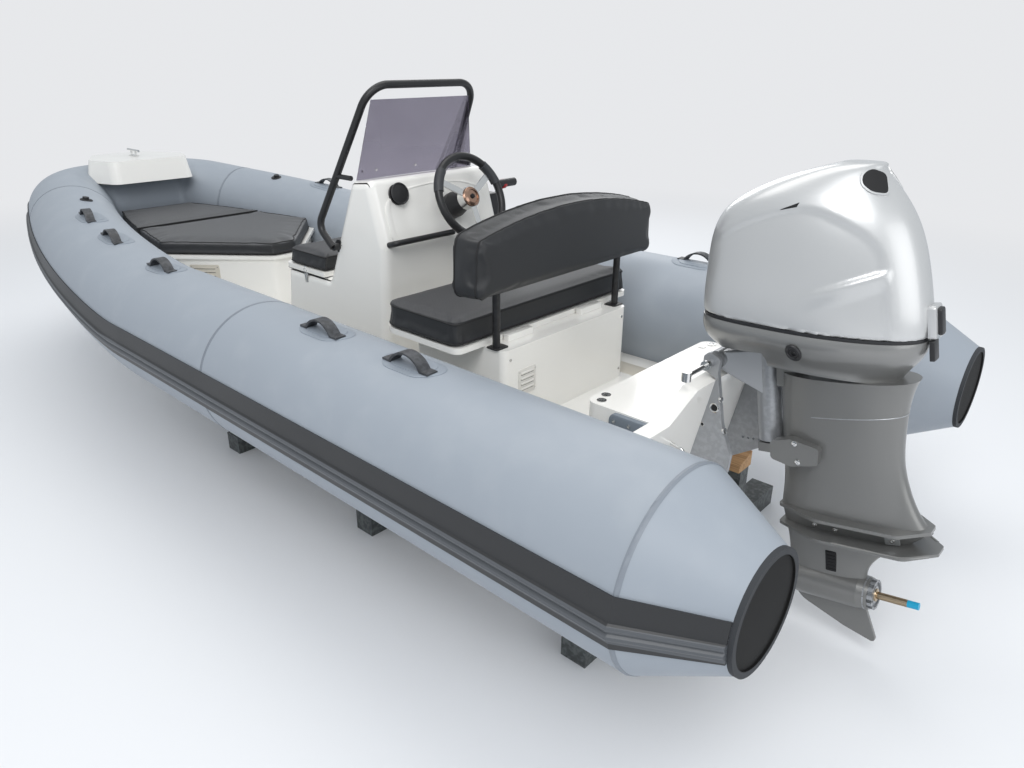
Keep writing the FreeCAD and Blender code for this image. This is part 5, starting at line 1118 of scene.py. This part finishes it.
def makeCornerBeads():
    # rounded moulding that closes the shell's thin aft corners from inside
    radius, side = console["cornerBead"]
    beads = []
    for sign in (1, -1):
        points = []
        for z in console["beadHeights"]:
            hit, normal = dashPoint(console["beadY"] * sign, z)
            points.append(Vector((hit.x, side * sign, hit.z)) - normal * radius)
        points.append(points[-1] + (points[-1] - points[-2]).normalized() * console["beadRise"])
        beads.append(pipe("bead", points, radius - console["beadGap"], round=11))
    done("cornerBeads", beads, "root", "gelcoat")


def makeLatch():
    # draw latch on the port side of the front seat
    leverY, hookY = console["latchAlong"]
    plateTop = console["latchPlate"][2]
    parts = [roundedSlab("latch", *console["latchPlate"]),
             pipe("loop", console["latchLoop"], console["latchWire"], kind="BEZIER"),
             putAt(roundedSlab("lever", *console["latchLever"], base=console["leverBase"]), 0, leverY, 0),
             putAt(roundedSlab("hook", *console["latchHook"]), 0, hookY, 0)]
    parts += [screwHead("screw", (0, y, plateTop), (0, 0, 1), *console["latchScrew"])
              for y in console["latchScrews"]]
    latch = seat(joinAll("seatLatch", parts), console["latch"], (-1, 0, 0), (0, 1, 0))
    done("seatLatch", [latch], "root", "stainless")


def makeWheel():
    tilt = math.radians(wheel["tilt"])
    axis = Vector((-math.cos(tilt), 0, math.sin(tilt)))
    up = Vector((math.sin(tilt), 0, math.cos(tilt)))
    side = Vector((0, 1, 0))
    centre = Vector(wheel["hub"])
    grip = wheel["grip"]
    low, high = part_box("steering_wheel_rim")
    radius = (high[1] - low[1]) / 2 - grip
    middle = Vector(((low[0] + high[0]) / 2, centre.y, (low[2] + high[2]) / 2))

    def around(degrees, reach):
        turn = math.radians(degrees)
        return middle + (up * math.cos(turn) + side * math.sin(turn)) * reach

    wraps = [pipe("wrap", [around(angle + step * wheel["wrapStep"], radius) for step in range(-5, 6)],
                  grip * wheel["wrapSwell"], kind="NURBS", round=5) for angle in wheel["wraps"]]
    ring = [around(step * 3, radius - grip * wheel["seamInset"]) for step in range(120)]
    wraps.append(pipe("innerSeam", ring, wheel["seamRadius"], closed=True, round=1))
    done("wheelGrip", wraps, "wheel", "black_tube", "strap")
    size = wheel["capSize"]
    cap = roundedSlab("cap", size, size, wheel["capThick"], size / 2 - wheel["capGap"], edge=wheel["capEdge"],
                      steps=14)
    pick(cap, "FACE", isTop)
    for inset, depth in wheel["capRings"]:
        insetPush(inset, depth)
    bevel(wheel["capSoft"])
    rest()
    nut = softNut("nut", *wheel["nut"], (0, 0, wheel["nutRise"]))
    dress(cap, "bronze")
    dress(nut, "darkAndPaintedShade")
    hit, normal = onSurface("steering_wheel_hub", centre + axis * 0.3, -axis)
    hub = seat(joinAll("hubCap", [cap, nut]), hit - axis * wheel["capSink"], side, axis)
    done("hubCap", [hub], "wheel", "stainless", "mixed")


def makeScreenBolts():
    level = console["screenBolts"][0][1]
    rays = [((x, 0.6 * sign, z), (0, -sign, 0)) for sign in (1, -1) for x, z in console["screenBolts"]]
    rays += [((0.9, y, level), (1, 0, 0)) for y in console["screenFront"]]
    bolts = []
    for start, toward in rays:
        hit, normal = onSurface("windscreen", start, toward)
        if hit is not None:
            outward = normal if toward[0] else -Vector(toward)
            bolts.append(screwHead("bolt", hit, outward, *console["screenBolt"]))
    done("screenBolts", bolts, "root", "stainless")


def makeHoopFeet():
    # flanges where the rail meets the console
    x, z = console["hoopFoot"]
    size, thick, sink = console["footSize"], console["footThick"], console["footSink"]
    reach, angles = console["footScrews"]
    feet = []
    for sign in (1, -1):
        hit, normal = onSurface("console", (x, 0.6 * sign, z), (0, -sign, 0))
        foot = roundedSlab("foot", size, size, thick, size / 2 - sink, steps=10)
        feet.append(seat(foot, hit - Vector((0, sign * sink, 0)), (1, 0, 0), (0, sign, 0)))
        for turn in map(math.radians, angles):
            spot = hit + Vector((math.cos(turn) * reach, sign * (thick - sink), math.sin(turn) * reach))
            feet.append(screwHead("screw", spot, (0, sign, 0), *console["footScrew"]))
    done("hoopFeet", feet, "root", "black_tube")


def makeThrottleTrim():
    low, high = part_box("throttle_control")
    x, y, z = console["leverCollar"]
    ring = softDrum("ring", *console["leverDrum"])
    seat(ring, (low[0] + x, low[1] + y, high[2] + z), (1, 0, 0), (0, 1, 0))
    done("leverCollar", [ring], "root", "black_plastic", "red")


def makeGasket():
    cord = sectionPipe(meshCopy("gasket", "console_seat_lid"), (0, 0, console["gasketLevel"]), (0, 0, 1),
                       console["gasketRadius"])
    done("frontSeatGasket", [cord], "console_seat", "black_plastic")


makeDashPanel()
makeGauge()
makeCornerBeads()
makeLatch()
makeWheel()
makeScreenBolts()
makeHoopFeet()
makeThrottleTrim()
makeGasket()
print("console dressed")


# Helm seat

helm = {
    "vent": (0.235, 0.640),
    "ventSize": (0.090, 0.095),
    "block": (0.026, 0.130, 0.022, 0.004),
    "blockPlace": (0.600, 0.20),
    "flange": (0.052, 0.060, 0.004, 0.008),
    "flangePlace": (0.578, 0.329975),
    "top": 0.7721,
    "plugs": ((0.318, 0.735), (-0.318, 0.735), (0.318, 0.52), (-0.318, 0.52)),
    "plug": (0.0055, 0.0025, False),
}


def makeHelmDetails():
    y, z = helm["vent"]
    makeVent("seatVent", "helm_seat_box", (0.2, y, z), (1, 0, 0), *helm["ventSize"], 4, "vent")
    for name, kind, finish in (("seatBlocks", "block", "gelcoat"), ("postFlanges", "flange", "black_tube")):
        x, y = helm[kind + "Place"]
        pair = [putAt(roundedSlab(kind, *helm[kind]), x, y * sign, helm["top"]) for sign in (1, -1)]
        done(name, pair, "root", finish)
    plugs = []
    for y, z in helm["plugs"]:
        hit, normal = onSurface("helm_seat_box", (0.2, y, z), (1, 0, 0))
        plugs.append(screwHead("plug", hit, normal, *helm["plug"]))
    done("seatPlugs", plugs, "root", "stainless")


makeHelmDetails()
print("helm seat dressed")


# Outboard: positions in the engine's own frame, its tilt axis at the origin

engine = {
    "trim": 10.0,
    "axis": (-0.090, 0.0, 0.840),
    "shaftLevel": -0.705,
}
cowling = {
    "middle": (-0.310, 0.0, 0.220),
    "voxel": 0.0055,
    "wall": 0.004,
    "sideFrom": (0.25, 0.35),
    "panelDepth": 0.0065,
    "panelEdge": 0.012,
    "panelFront": (0.02, 0.12),
    "panelCorner": 0.05,
    "panel": ((0.020, 0.330), (-0.034, 0.358), (-0.110, 0.394), (-0.190, 0.419), (-0.277, 0.430), (-0.320, 0.422),
              (-0.372, 0.394), (-0.432, 0.351), (-0.460, 0.306), (-0.466, 0.243), (-0.478, 0.083), (-0.478, 0.020),
              (0.020, 0.020)),
    "crest": ((-0.250, 0.199), (-0.462, 0.256)),
    "crestHeight": 0.009,
    "crestWidths": (0.014, 0.050),
    "crestEnd": (1.10, 0.14),
    "crestStart": 1.4,
    "scoop": (-0.428, 0.055, 0.477),
    "scoopWay": (-0.65, 0.56, 0.51),
    "scoopShape": ((-0.036, 0.004), (-0.030, -0.020), (-0.002, -0.034), (0.036, -0.024), (0.020, 0.032),
                   (-0.022, 0.026)),
    "scoopCorner": 0.014,
    "scoopRim": 1.14,
    "slot": (-0.250, 0.150, 0.438),
    "slotWay": (0, 0.93, 0.35),
    "slotLean": 12,
    "slotShape": ((-0.024, -0.0030), (0.018, -0.0052), (0.026, 0.0048), (-0.020, -0.0012)),
    "scoopThick": (0.0042, 0.0036),
    "slotThick": 0.0006,
    "slotCorner": 0.0012,
    "patchReach": 0.12,
    "latch": (-0.755, 0, 0.110),
    "latchWay": (-1, 0, 0.05),
    # length, width, thickness, corner and soft edge of the rear latch's parts
    "latchBody": (0.060, 0.085, 0.020, 0.010, 0.005),
    "latchGrip": (0.034, 0.070, 0.016, 0.008, 0.004),
    "latchHook": (0.040, 0.055, 0.012, 0.006, 0.003),
    "latchDish": (0.009, -0.006),
    "gripBase": 0.014,
    "pivot": (0.010, 0.010, 0.050),
    "pivotPlace": (0, -0.034, 0.022),
    "hookDrop": -0.075,
    "latchSink": (0.004, 0.012),
    "grommet": (-0.262, 0.061),
    "grommetRing": (0.019, 0.0055),
    "grommetShape": (0.85, 1.25, 1),
    "grommetRise": 0.001,
    "plug": (0.024, 0.034, 0.004, 0.0119),
    "plugDish": (0.005, -0.003),
}
leg = {
    "seam": (-0.37, 0, -0.1445),
    "seamWay": (0.09, 0, 1),
    "seamEnd": -0.262,
    # solid, place, radius, rise and height over the surface
    "screws": (("mount_covers", -0.224, -0.232, 0.0085, 0.005, -0.0005),
               ("mount_covers", -0.232, -0.288, 0.0085, 0.005, -0.0005),
               ("gearcase", -0.262, -0.495, 0.0075, 0.0045, -0.0005),
               ("gearcase", -0.322, -0.497, 0.0075, 0.0045, -0.0005),
               ("gearcase", -0.474, -0.491, 0.008, 0.003, 0.005)),
    "seamRadius": 0.0015,
    "anode": (-0.474, -0.491),
    "anodeShape": (0.018, 0.018, 0.003, 3),
    "barShape": (0.012, 0.0018, 0.001, 2),
    # how thick the anode, the grille and its bars lie on the gearcase
    "thicks": (0.006, 0.0012, 0.0030),
    "grilleCorner": 0.003,
    "grille": (-0.302, -0.614),
    "grilleShape": ((-0.016, -0.034), (0.014, -0.034), (0.016, 0.034), (-0.016, 0.034)),
    "bars": (6, -0.586, 0.0112),
    "lip": (15, -0.330, 0.0262, -0.5160),
    "lipRadius": 0.0062,
    "lipInset": 0.0035,
}
shaft = {
    "carrier": (0.088, 0.020, 48),
    "carrierSeek": (-0.75, 0.032),
    "carrierSink": 0.004,
    "carrierFlute": 0.005,
    "carrierRings": ((0.007, -0.006), (0.012, 0.004)),
    "spline": (0.0215, 0.082, 36),
    "splineDepth": 0.0011,
    "splinePlace": -0.4653,
    # width, length, softened edge and place of the plain drums
    "drums": ((0.038, 0.0162, 0.002, -0.4163), (0.028, 0.058, 0.001, -0.379)),
}
bracket = {
    "boltY": 0.132,
    "boltLevels": (0.520, 0.640, 0.735),
    "boltLimit": -0.16,
    "bolt": (0.010, 0.007, False),
    "nut": (0.052, 0.014, 0.002),
    "nutY": -0.1565,
    "holes": ((-0.118, 0.705, 0.026), (-0.085, 0.640, 0.012)),
    "holeLimit": 0.12,
    "holeRim": 0.13,
    # width, thickness, corner and sink of the dark disc in a hole
    "holeDisc": (0.9, 0.0008, 0.449, 0.0003),
}
trimTurn = Matrix.Rotation(math.radians(engine["trim"]), 4, "Y")
levelTurn = trimTurn.inverted().to_3x3()
fromEngine = Matrix.Translation(engine["axis"]) @ trimTurn
toEngine = fromEngine.inverted()


def enginePoint(x, y, z):
    return fromEngine @ Vector((x, y, z))


def engineWay(x, y, z):
    return (trimTurn.to_3x3() @ Vector((x, y, z))).normalized()


def insideBy(point, shape):
    # distance inside a closed flat outline, negative outside
    inside = False
    nearest = 1.0
    for index, (bx, by) in enumerate(shape):
        ax, ay = shape[index - 1]
        if (ay > point[1]) != (by > point[1]) and point[0] < (bx - ax) * (point[1] - ay) / (by - ay) + ax:
            inside = not inside
        dx, dy = bx - ax, by - ay
        t = max(0.0, min(1.0, ((point[0] - ax) * dx + (point[1] - ay) * dy) / (dx * dx + dy * dy)))
        nearest = min(nearest, math.hypot(point[0] - ax - dx * t, point[1] - ay - dy * t))
    return nearest if inside else -nearest


def eased(value):
    value = max(0.0, min(1.0, value))
    return value * value * (3 - 2 * value)


def sculptCowl(cowl):
    # the sides get their recessed panel and the crest that runs back below it
    panel = [tuple(point) for point in roundedShape(cowling["panel"], cowling["panelCorner"], 4)]
    (crestX, crestZ), (endX, endZ) = cowling["crest"]
    sideFrom, sideSpan = cowling["sideFrom"]
    front, frontSpan = cowling["panelFront"]
    above, below = cowling["crestWidths"]
    crestEnd, crestFade = cowling["crestEnd"]
    normals = [vertex.normal.copy() for vertex in cowl.data.vertices]
    for vertex, outward in zip(cowl.data.vertices, normals):
        place = toEngine @ vertex.co
        normal = levelTurn @ outward
        facing = eased((abs(normal.y) - sideFrom) / sideSpan)
        if facing <= 0 or normal.y * place.y < 0:
            continue
        inside = insideBy((place.x, place.z), panel) / cowling["panelEdge"]
        move = -cowling["panelDepth"] * eased(0.5 + inside / 2) * eased((front - place.x) / frontSpan)
        along = (place.x - crestX) / (endX - crestX)
        if along > 0:
            over = place.z - crestZ - (endZ - crestZ) * along
            ridge = eased(1 - abs(over) / (above if over > 0 else below))
            fade = eased(along * cowling["crestStart"]) * eased((crestEnd - along) / crestFade)
            move += cowling["crestHeight"] * ridge * fade
        vertex.co += outward * move * facing


def makeCowl():
    # outer skin alone, closed and remeshed, shaped with the listed panel and crest, then given its wall again
    cowl = meshCopy("cowlShell", "cowl_top")
    middle = enginePoint(*cowling["middle"])
    pick(cowl, "FACE", lambda f: f.normal.dot(f.calc_center_median() - middle) < 0)
    bpy.ops.mesh.delete(type="FACE")
    bpy.ops.mesh.select_mode(type="EDGE")
    bpy.ops.mesh.select_all(action="DESELECT")
    bpy.ops.mesh.select_non_manifold(extend=False)
    bpy.ops.mesh.edge_face_add()
    rest()
    skin = newObject("cowlSkin", cowl.data.copy())
    addModifier(cowl, "REMESH", mode="VOXEL", voxel_size=cowling["voxel"])
    addModifier(cowl, "SMOOTH", factor=0.5, iterations=4)
    addModifier(cowl, "SHRINKWRAP", target=skin, wrap_method="NEAREST_SURFACEPOINT")
    addModifier(cowl, "SMOOTH", factor=0.5, iterations=2)
    bpy.data.objects.remove(skin)
    sculptCowl(cowl)
    addModifier(cowl, "SMOOTH", factor=0.4, iterations=2)
    pick(cowl, "FACE", lambda f: (levelTurn @ f.normal).z < -0.9)
    bpy.ops.mesh.delete(type="FACE")
    addModifier(cowl, "SOLIDIFY", thickness=cowling["wall"], offset=-1.0)
    done("cowlShell", [cowl], "engine", "engine_silver", smooth=60)
    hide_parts("cowl_top")
    surfaces["cowlShell"] = treeOf(cowl)


def cowlPatch(shape, place, outward, sign, thick, **more):
    # one outline for both sides: the starboard one is mirrored and turned round
    x, y, z = place
    shape = [Vector((p.x, p.y * sign)) for p in shape][::sign]
    return layPatch("patch", "cowlShell", shape, enginePoint(x, y * sign, z), engineWay(-1, 0, 0),
                    engineWay(outward[0], outward[1] * sign, outward[2]), thick, reach=cowling["patchReach"], **more)


def makeCowlOpenings():
    scoop = roundedShape(cowling["scoopShape"], cowling["scoopCorner"])
    lean = Matrix.Rotation(math.radians(cowling["slotLean"]), 2)
    slot = [lean @ p for p in roundedShape(cowling["slotShape"], cowling["slotCorner"], 3)]
    holeThick, rimThick = cowling["scoopThick"]
    holes, rims, slots = [], [], []
    for sign in (1, -1):
        place, way = cowling["scoop"], cowling["scoopWay"]
        holes.append(cowlPatch(scoop, place, way, sign, holeThick))
        rims.append(cowlPatch([p * cowling["scoopRim"] for p in scoop], place, way, sign, rimThick))
        slots.append(cowlPatch(slot, cowling["slot"], cowling["slotWay"], sign, cowling["slotThick"], rings=3))
    done("cowlRims", rims, "engine", "engine_silver")
    # the scoop and slot patches are near-black sheets, painted shade for the openings
    done("cowlOpeningsPaintedShade", holes + slots, "engine", "black_plastic", "darkAndPaintedShade")


def dished(slab, inset, depth):
    # its largest face up, which is the flat top within the soft edge, is set in
    tops = [face.area for face in slab.data.polygons if isTop(face)]
    pick(slab, "FACE", lambda f: isTop(f) and f.calc_area() > max(tops) / 2)
    insetPush(inset, depth)
    rest()
    return slab


def makeRearLatch():
    back = engineWay(*cowling["latchWay"])
    hit, normal = onSurface("cowlShell", enginePoint(*cowling["latch"]), engineWay(1, 0, 0))
    body = dished(roundedSlab("body", *cowling["latchBody"]), *cowling["latchDish"])
    grip = roundedSlab("grip", *cowling["latchGrip"], base=cowling["gripBase"])
    pivot = begin("cylinder", "pivot", place=cowling["pivotPlace"], size=cowling["pivot"],
                  turn=(0, math.radians(90), 0), vertices=24)
    hook = putAt(roundedSlab("hook", *cowling["latchHook"]), 0, cowling["hookDrop"], 0)
    parts = [body, grip, pivot, hook]
    for part, finish in zip(parts, ("engine_silver", "black_plastic", "stainless", "black_plastic")):
        dress(part, finish)
    inward, raised = cowling["latchSink"]
    latch = joinAll("cowlLatch", parts)
    seat(latch, hit - back * inward + engineWay(0, 0, 1) * raised, (0, -1, 0), back)
    done("cowlLatch", [latch], "engine", "engine_silver", "mixed")


def sideHit(node, x, z, sign):
    return onSurface(node, enginePoint(x, 0.5 * sign, z), engineWay(0, -sign, 0))


def makeGrommets():
    ahead = engineWay(1, 0, 0)
    rings, plugs = [], []
    for sign in (1, -1):
        hit, normal = sideHit("cowl_pan", *cowling["grommet"], sign)
        ring = ringAt("ring", *cowling["grommetRing"], 40, 10)
        ring.scale = cowling["grommetShape"]
        applyPlace(ring)
        rise = normal * cowling["grommetRise"]
        rings.append(seat(ring, hit + rise, ahead, normal))
        plug = dished(roundedSlab("plug", *cowling["plug"], steps=8), *cowling["plugDish"])
        plugs.append(seat(plug, hit - rise, ahead, normal))
    done("panGrommets", rings + plugs, "engine", "black_plastic")


def gearPatch(shape, x, z, sign, thick, rings):
    if sign < 0:
        shape = [Vector((-p[0], p[1])) for p in reversed(shape)]
    return layPatch("patch", "gearcase", shape, enginePoint(x, 0.12 * sign, z), engineWay(-sign, 0, 0),
                    engineWay(0, sign, 0), thick, rings=rings, reach=0.15)


def makeLegDetails():
    seam = sectionPipe(meshCopy("seam", "midsection"), enginePoint(*leg["seam"]), engineWay(*leg["seamWay"]),
                       leg["seamRadius"], keep=lambda p: (toEngine @ p).x < leg["seamEnd"], round=1)
    done("legSeam", [seam], "engine", "engine_silver", "castGrey")
    anode, bar = boxShape(*leg["anodeShape"]), boxShape(*leg["barShape"])
    grille = roundedShape(leg["grilleShape"], leg["grilleCorner"], 3)
    anodeThick, grilleThick, barThick = leg["thicks"]
    x, z = leg["grille"]
    count, barZ, pitch = leg["bars"]
    screws, anodes, grilles = [], [], []
    for sign in (1, -1):
        for node, screwX, screwZ, radius, rise, over in leg["screws"]:
            hit, normal = sideHit(node, screwX, screwZ, sign)
            screws.append(screwHead("screw", hit + normal * over, normal, radius, rise))
        anodes.append(gearPatch(anode, *leg["anode"], sign, anodeThick, 3))
        grilles.append(gearPatch(grille, x, z, sign, grilleThick, 3))
        grilles += [gearPatch(bar, x, barZ - index * pitch, sign, barThick, 2) for index in range(count)]
    done("legScrews", screws, "engine", "engine_silver", "stainless")
    done("legAnodes", anodes, "engine", "engine_silver", "zinc")
    # the grille patch and its bars in near-black, painted shade for the intake openings
    done("waterGrillesPaintedShade", grilles, "engine", "black_plastic", "darkAndPaintedShade")


def makePlateLips():
    # the thickened lip along each side of the anti-ventilation plate
    count, start, pitch, level = leg["lip"]
    lips = []
    for sign in (1, -1):
        out = engineWay(0, sign, 0)
        hits = [onSurface("gearcase", enginePoint(start - step * pitch, 0.3 * sign, level), -out)[0]
                for step in range(count)]
        points = [hit - out * leg["lipInset"] for hit in hits if hit is not None]
        lips.append(pipe("lip", points, leg["lipRadius"], kind="NURBS"))
    # the lips take the leg's silver, darkened as painted shade
    done("plateLips", lips, "engine", "engine_silver", "legSilverPaintedShade")


def makeCarrier():
    # fluted bearing carrier round the propeller shaft
    width, length, count = shaft["carrier"]
    step = 360 / count
    level = engine["shaftLevel"]
    hit, normal = onSurface("gearcase", enginePoint(*shaft["carrierSeek"], level), engineWay(1, 0, 0))
    carrier = begin("cylinder", "carrier", size=(width, width, length), vertices=count)
    pick(carrier, "FACE", lambda f: isSide(f)
         and int(round(math.degrees(math.atan2(f.normal.y, f.normal.x)) / step)) % 4 == 0)
    bpy.ops.mesh.extrude_faces_move(TRANSFORM_OT_shrink_fatten={"value": -shaft["carrierFlute"]})
    rest()
    pick(carrier, "FACE", isTop)
    for inset, depth in shaft["carrierRings"]:
        insetPush(inset, depth)
    rest()
    seat(carrier, enginePoint((toEngine @ hit).x - shaft["carrierSink"], 0, level), (0, 1, 0), engineWay(-1, 0, 0))
    done("bearingCarrier", [carrier], "engine", "engine_silver", "castGrey")


def makeShaft():
    # splined shaft with its thrust collar, in the place of the plain one
    width, length, count = shaft["spline"]
    step = 360 / count
    spline = begin("cylinder", "spline", size=(width, width, length), vertices=count)
    pick(spline, "FACE", lambda f: isSide(f)
         and int(round(math.degrees(math.atan2(f.normal.y, f.normal.x)) / step - 0.5)) % 3 != 0)
    push(0)
    bpy.ops.transform.shrink_fatten(value=-shaft["splineDepth"])
    rest()
    parts = [(spline, shaft["splinePlace"])]
    parts += [(softDrum("drum", wide, long, 40, soft), x) for wide, long, soft, x in shaft["drums"]]
    for part, x in parts:
        seat(part, enginePoint(x, 0, engine["shaftLevel"]), (0, 1, 0), engineWay(-1, 0, 0))
    whole = done("splinedShaft", [part for part, x in parts], "propeller", "shaft_steel")
    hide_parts("propeller_shaft")


def makeBracketDetails():
    width, thick, corner, sink = bracket["holeDisc"]
    bolts, darkAndPaintedShade = [], []
    for sign in (1, -1):
        for z in bracket["boltLevels"]:
            hit, normal = onSurface("clamp_bracket", (-0.5, bracket["boltY"] * sign, z), (1, 0, 0))
            if hit is not None and hit.x > bracket["boltLimit"]:
                bolts.append(screwHead("bolt", hit, normal, *bracket["bolt"]))
        if sign < 0:
            nut = softNut("nut", *bracket["nut"])
            bolts.append(seat(nut, (engine["axis"][0], bracket["nutY"], engine["axis"][2]), (1, 0, 0), (0, -1, 0)))
        for x, z, size in bracket["holes"]:
            hit, normal = onSurface("clamp_bracket", (x, 0.4 * sign, z), (0, -sign, 0))
            if hit is None or abs(hit.y) < bracket["holeLimit"]:
                continue
            rim = ringAt("hole", size / 2, size * bracket["holeRim"], 32, 8)
            bolts.append(seat(rim, hit, (1, 0, 0), (0, sign, 0)))
            # a near-black disc sunk in each hole, painted shade
            disc = roundedSlab("disc", size * width, size * width, thick, size * corner, edge=0, steps=8)
            darkAndPaintedShade.append(seat(disc, hit - Vector((0, sign * sink, 0)), (1, 0, 0), (0, sign, 0)))
    done("bracketBolts", bolts, "root", "stainless")
    done("bracketHolesPaintedShade", darkAndPaintedShade, "root", "black_plastic", "darkAndPaintedShade")


makeCowl()
makeCowlOpenings()
makeRearLatch()
makeGrommets()
makeLegDetails()
makePlateLips()
makeCarrier()
makeShaft()
makeBracketDetails()
print("outboard dressed")


# Transom, ledge and cradle

stern = {
    "flapSize": (0.145, 0.150, 0.016),
    "flapPlace": (0.018, 0.362, 0.632),
    "flapCorner": 0.022,
    "flapEdge": 0.006,
    "flapScrews": (-0.035, 0.018, 0.070),
    "flapScrew": 0.006,
    "screwRise": 0.36,
    "screwSink": 0.0005,
    "fittings": ((0.162, 0.290), (0.148, 0.332)),
    "fittingSize": (0.030, 0.030, 0.003),
    "fittingRings": ((0.005, -0.002), (0.003, 0.0014)),
    "ledgeTop": 0.7118,
    "bunkBolts": (0.020, 0.520, 1.017, 1.520, 2.040),
    "bunkFace": (0.315, 0.338),
    # length, width, thickness, corner, edge and steps; then width, length, sides and edge
    "washer": (0.030, 0.030, 0.0025, 0.0149, 0.0008, 6),
    "boltHead": (0.019, 0.007, 6, 0.0015),
    "headRise": 0.0055,
}


def makeLedgeFlaps():
    # fabric pads that close the gap between the transom's shoulders and the tubes, in the tube's fabric colour
    # darkened as painted shade
    flaps, screws = [], []
    x, y, z = stern["flapPlace"]
    length, height, thick = stern["flapSize"]
    for sign in (1, -1):
        flapPaintedShade = roundedSlab("flapPaintedShade", length, height, thick, stern["flapCorner"], edge=stern["flapEdge"])
        flaps.append(seat(flapPaintedShade, (x, y * sign, z), (-sign, 0, 0), (0, sign, 0)))
        for at in stern["flapScrews"]:
            place = (at, (y + thick - stern["screwSink"]) * sign, z + height * stern["screwRise"])
            screws.append(screwHead("screw", place, (0, sign, 0), stern["flapScrew"]))
    done("ledgeFlaps", flaps, "root", "black_plastic", "flapPaintedShade")
    done("flapScrews", screws, "root", "stainless")


def makeLedgeFittings():
    fittings = []
    for sign in (1, -1):
        for x, y in stern["fittings"]:
            fitting = begin("cylinder", "fitting", place=(0, 0, stern["fittingSize"][2] / 2),
                            size=stern["fittingSize"], vertices=32)
            pick(fitting, "FACE", isTop)
            for inset, depth in stern["fittingRings"]:
                insetPush(inset, depth)
            rest()
            fittings.append(putAt(fitting, x, y * sign, stern["ledgeTop"]))
    done("ledgeFittings", fittings, "root", "stainless")


def makeCradleBolts():
    bolts = []
    y, z = stern["bunkFace"]
    for sign in (1, -1):
        for x in stern["bunkBolts"]:
            for part in (roundedSlab("washer", *stern["washer"]),
                         softDrum("head", *stern["boltHead"], isTop, (0, 0, stern["headRise"]))):
                bolts.append(seat(part, (x, y * sign, z), (1, 0, 0), (0, sign, 0)))
    done("cradleBolts", bolts, "root", "stainless")


makeLedgeFlaps()
makeLedgeFittings()
makeCradleBolts()
print("transom and cradle dressed")


bpy.context.scene.view_settings.view_transform = "Standard"
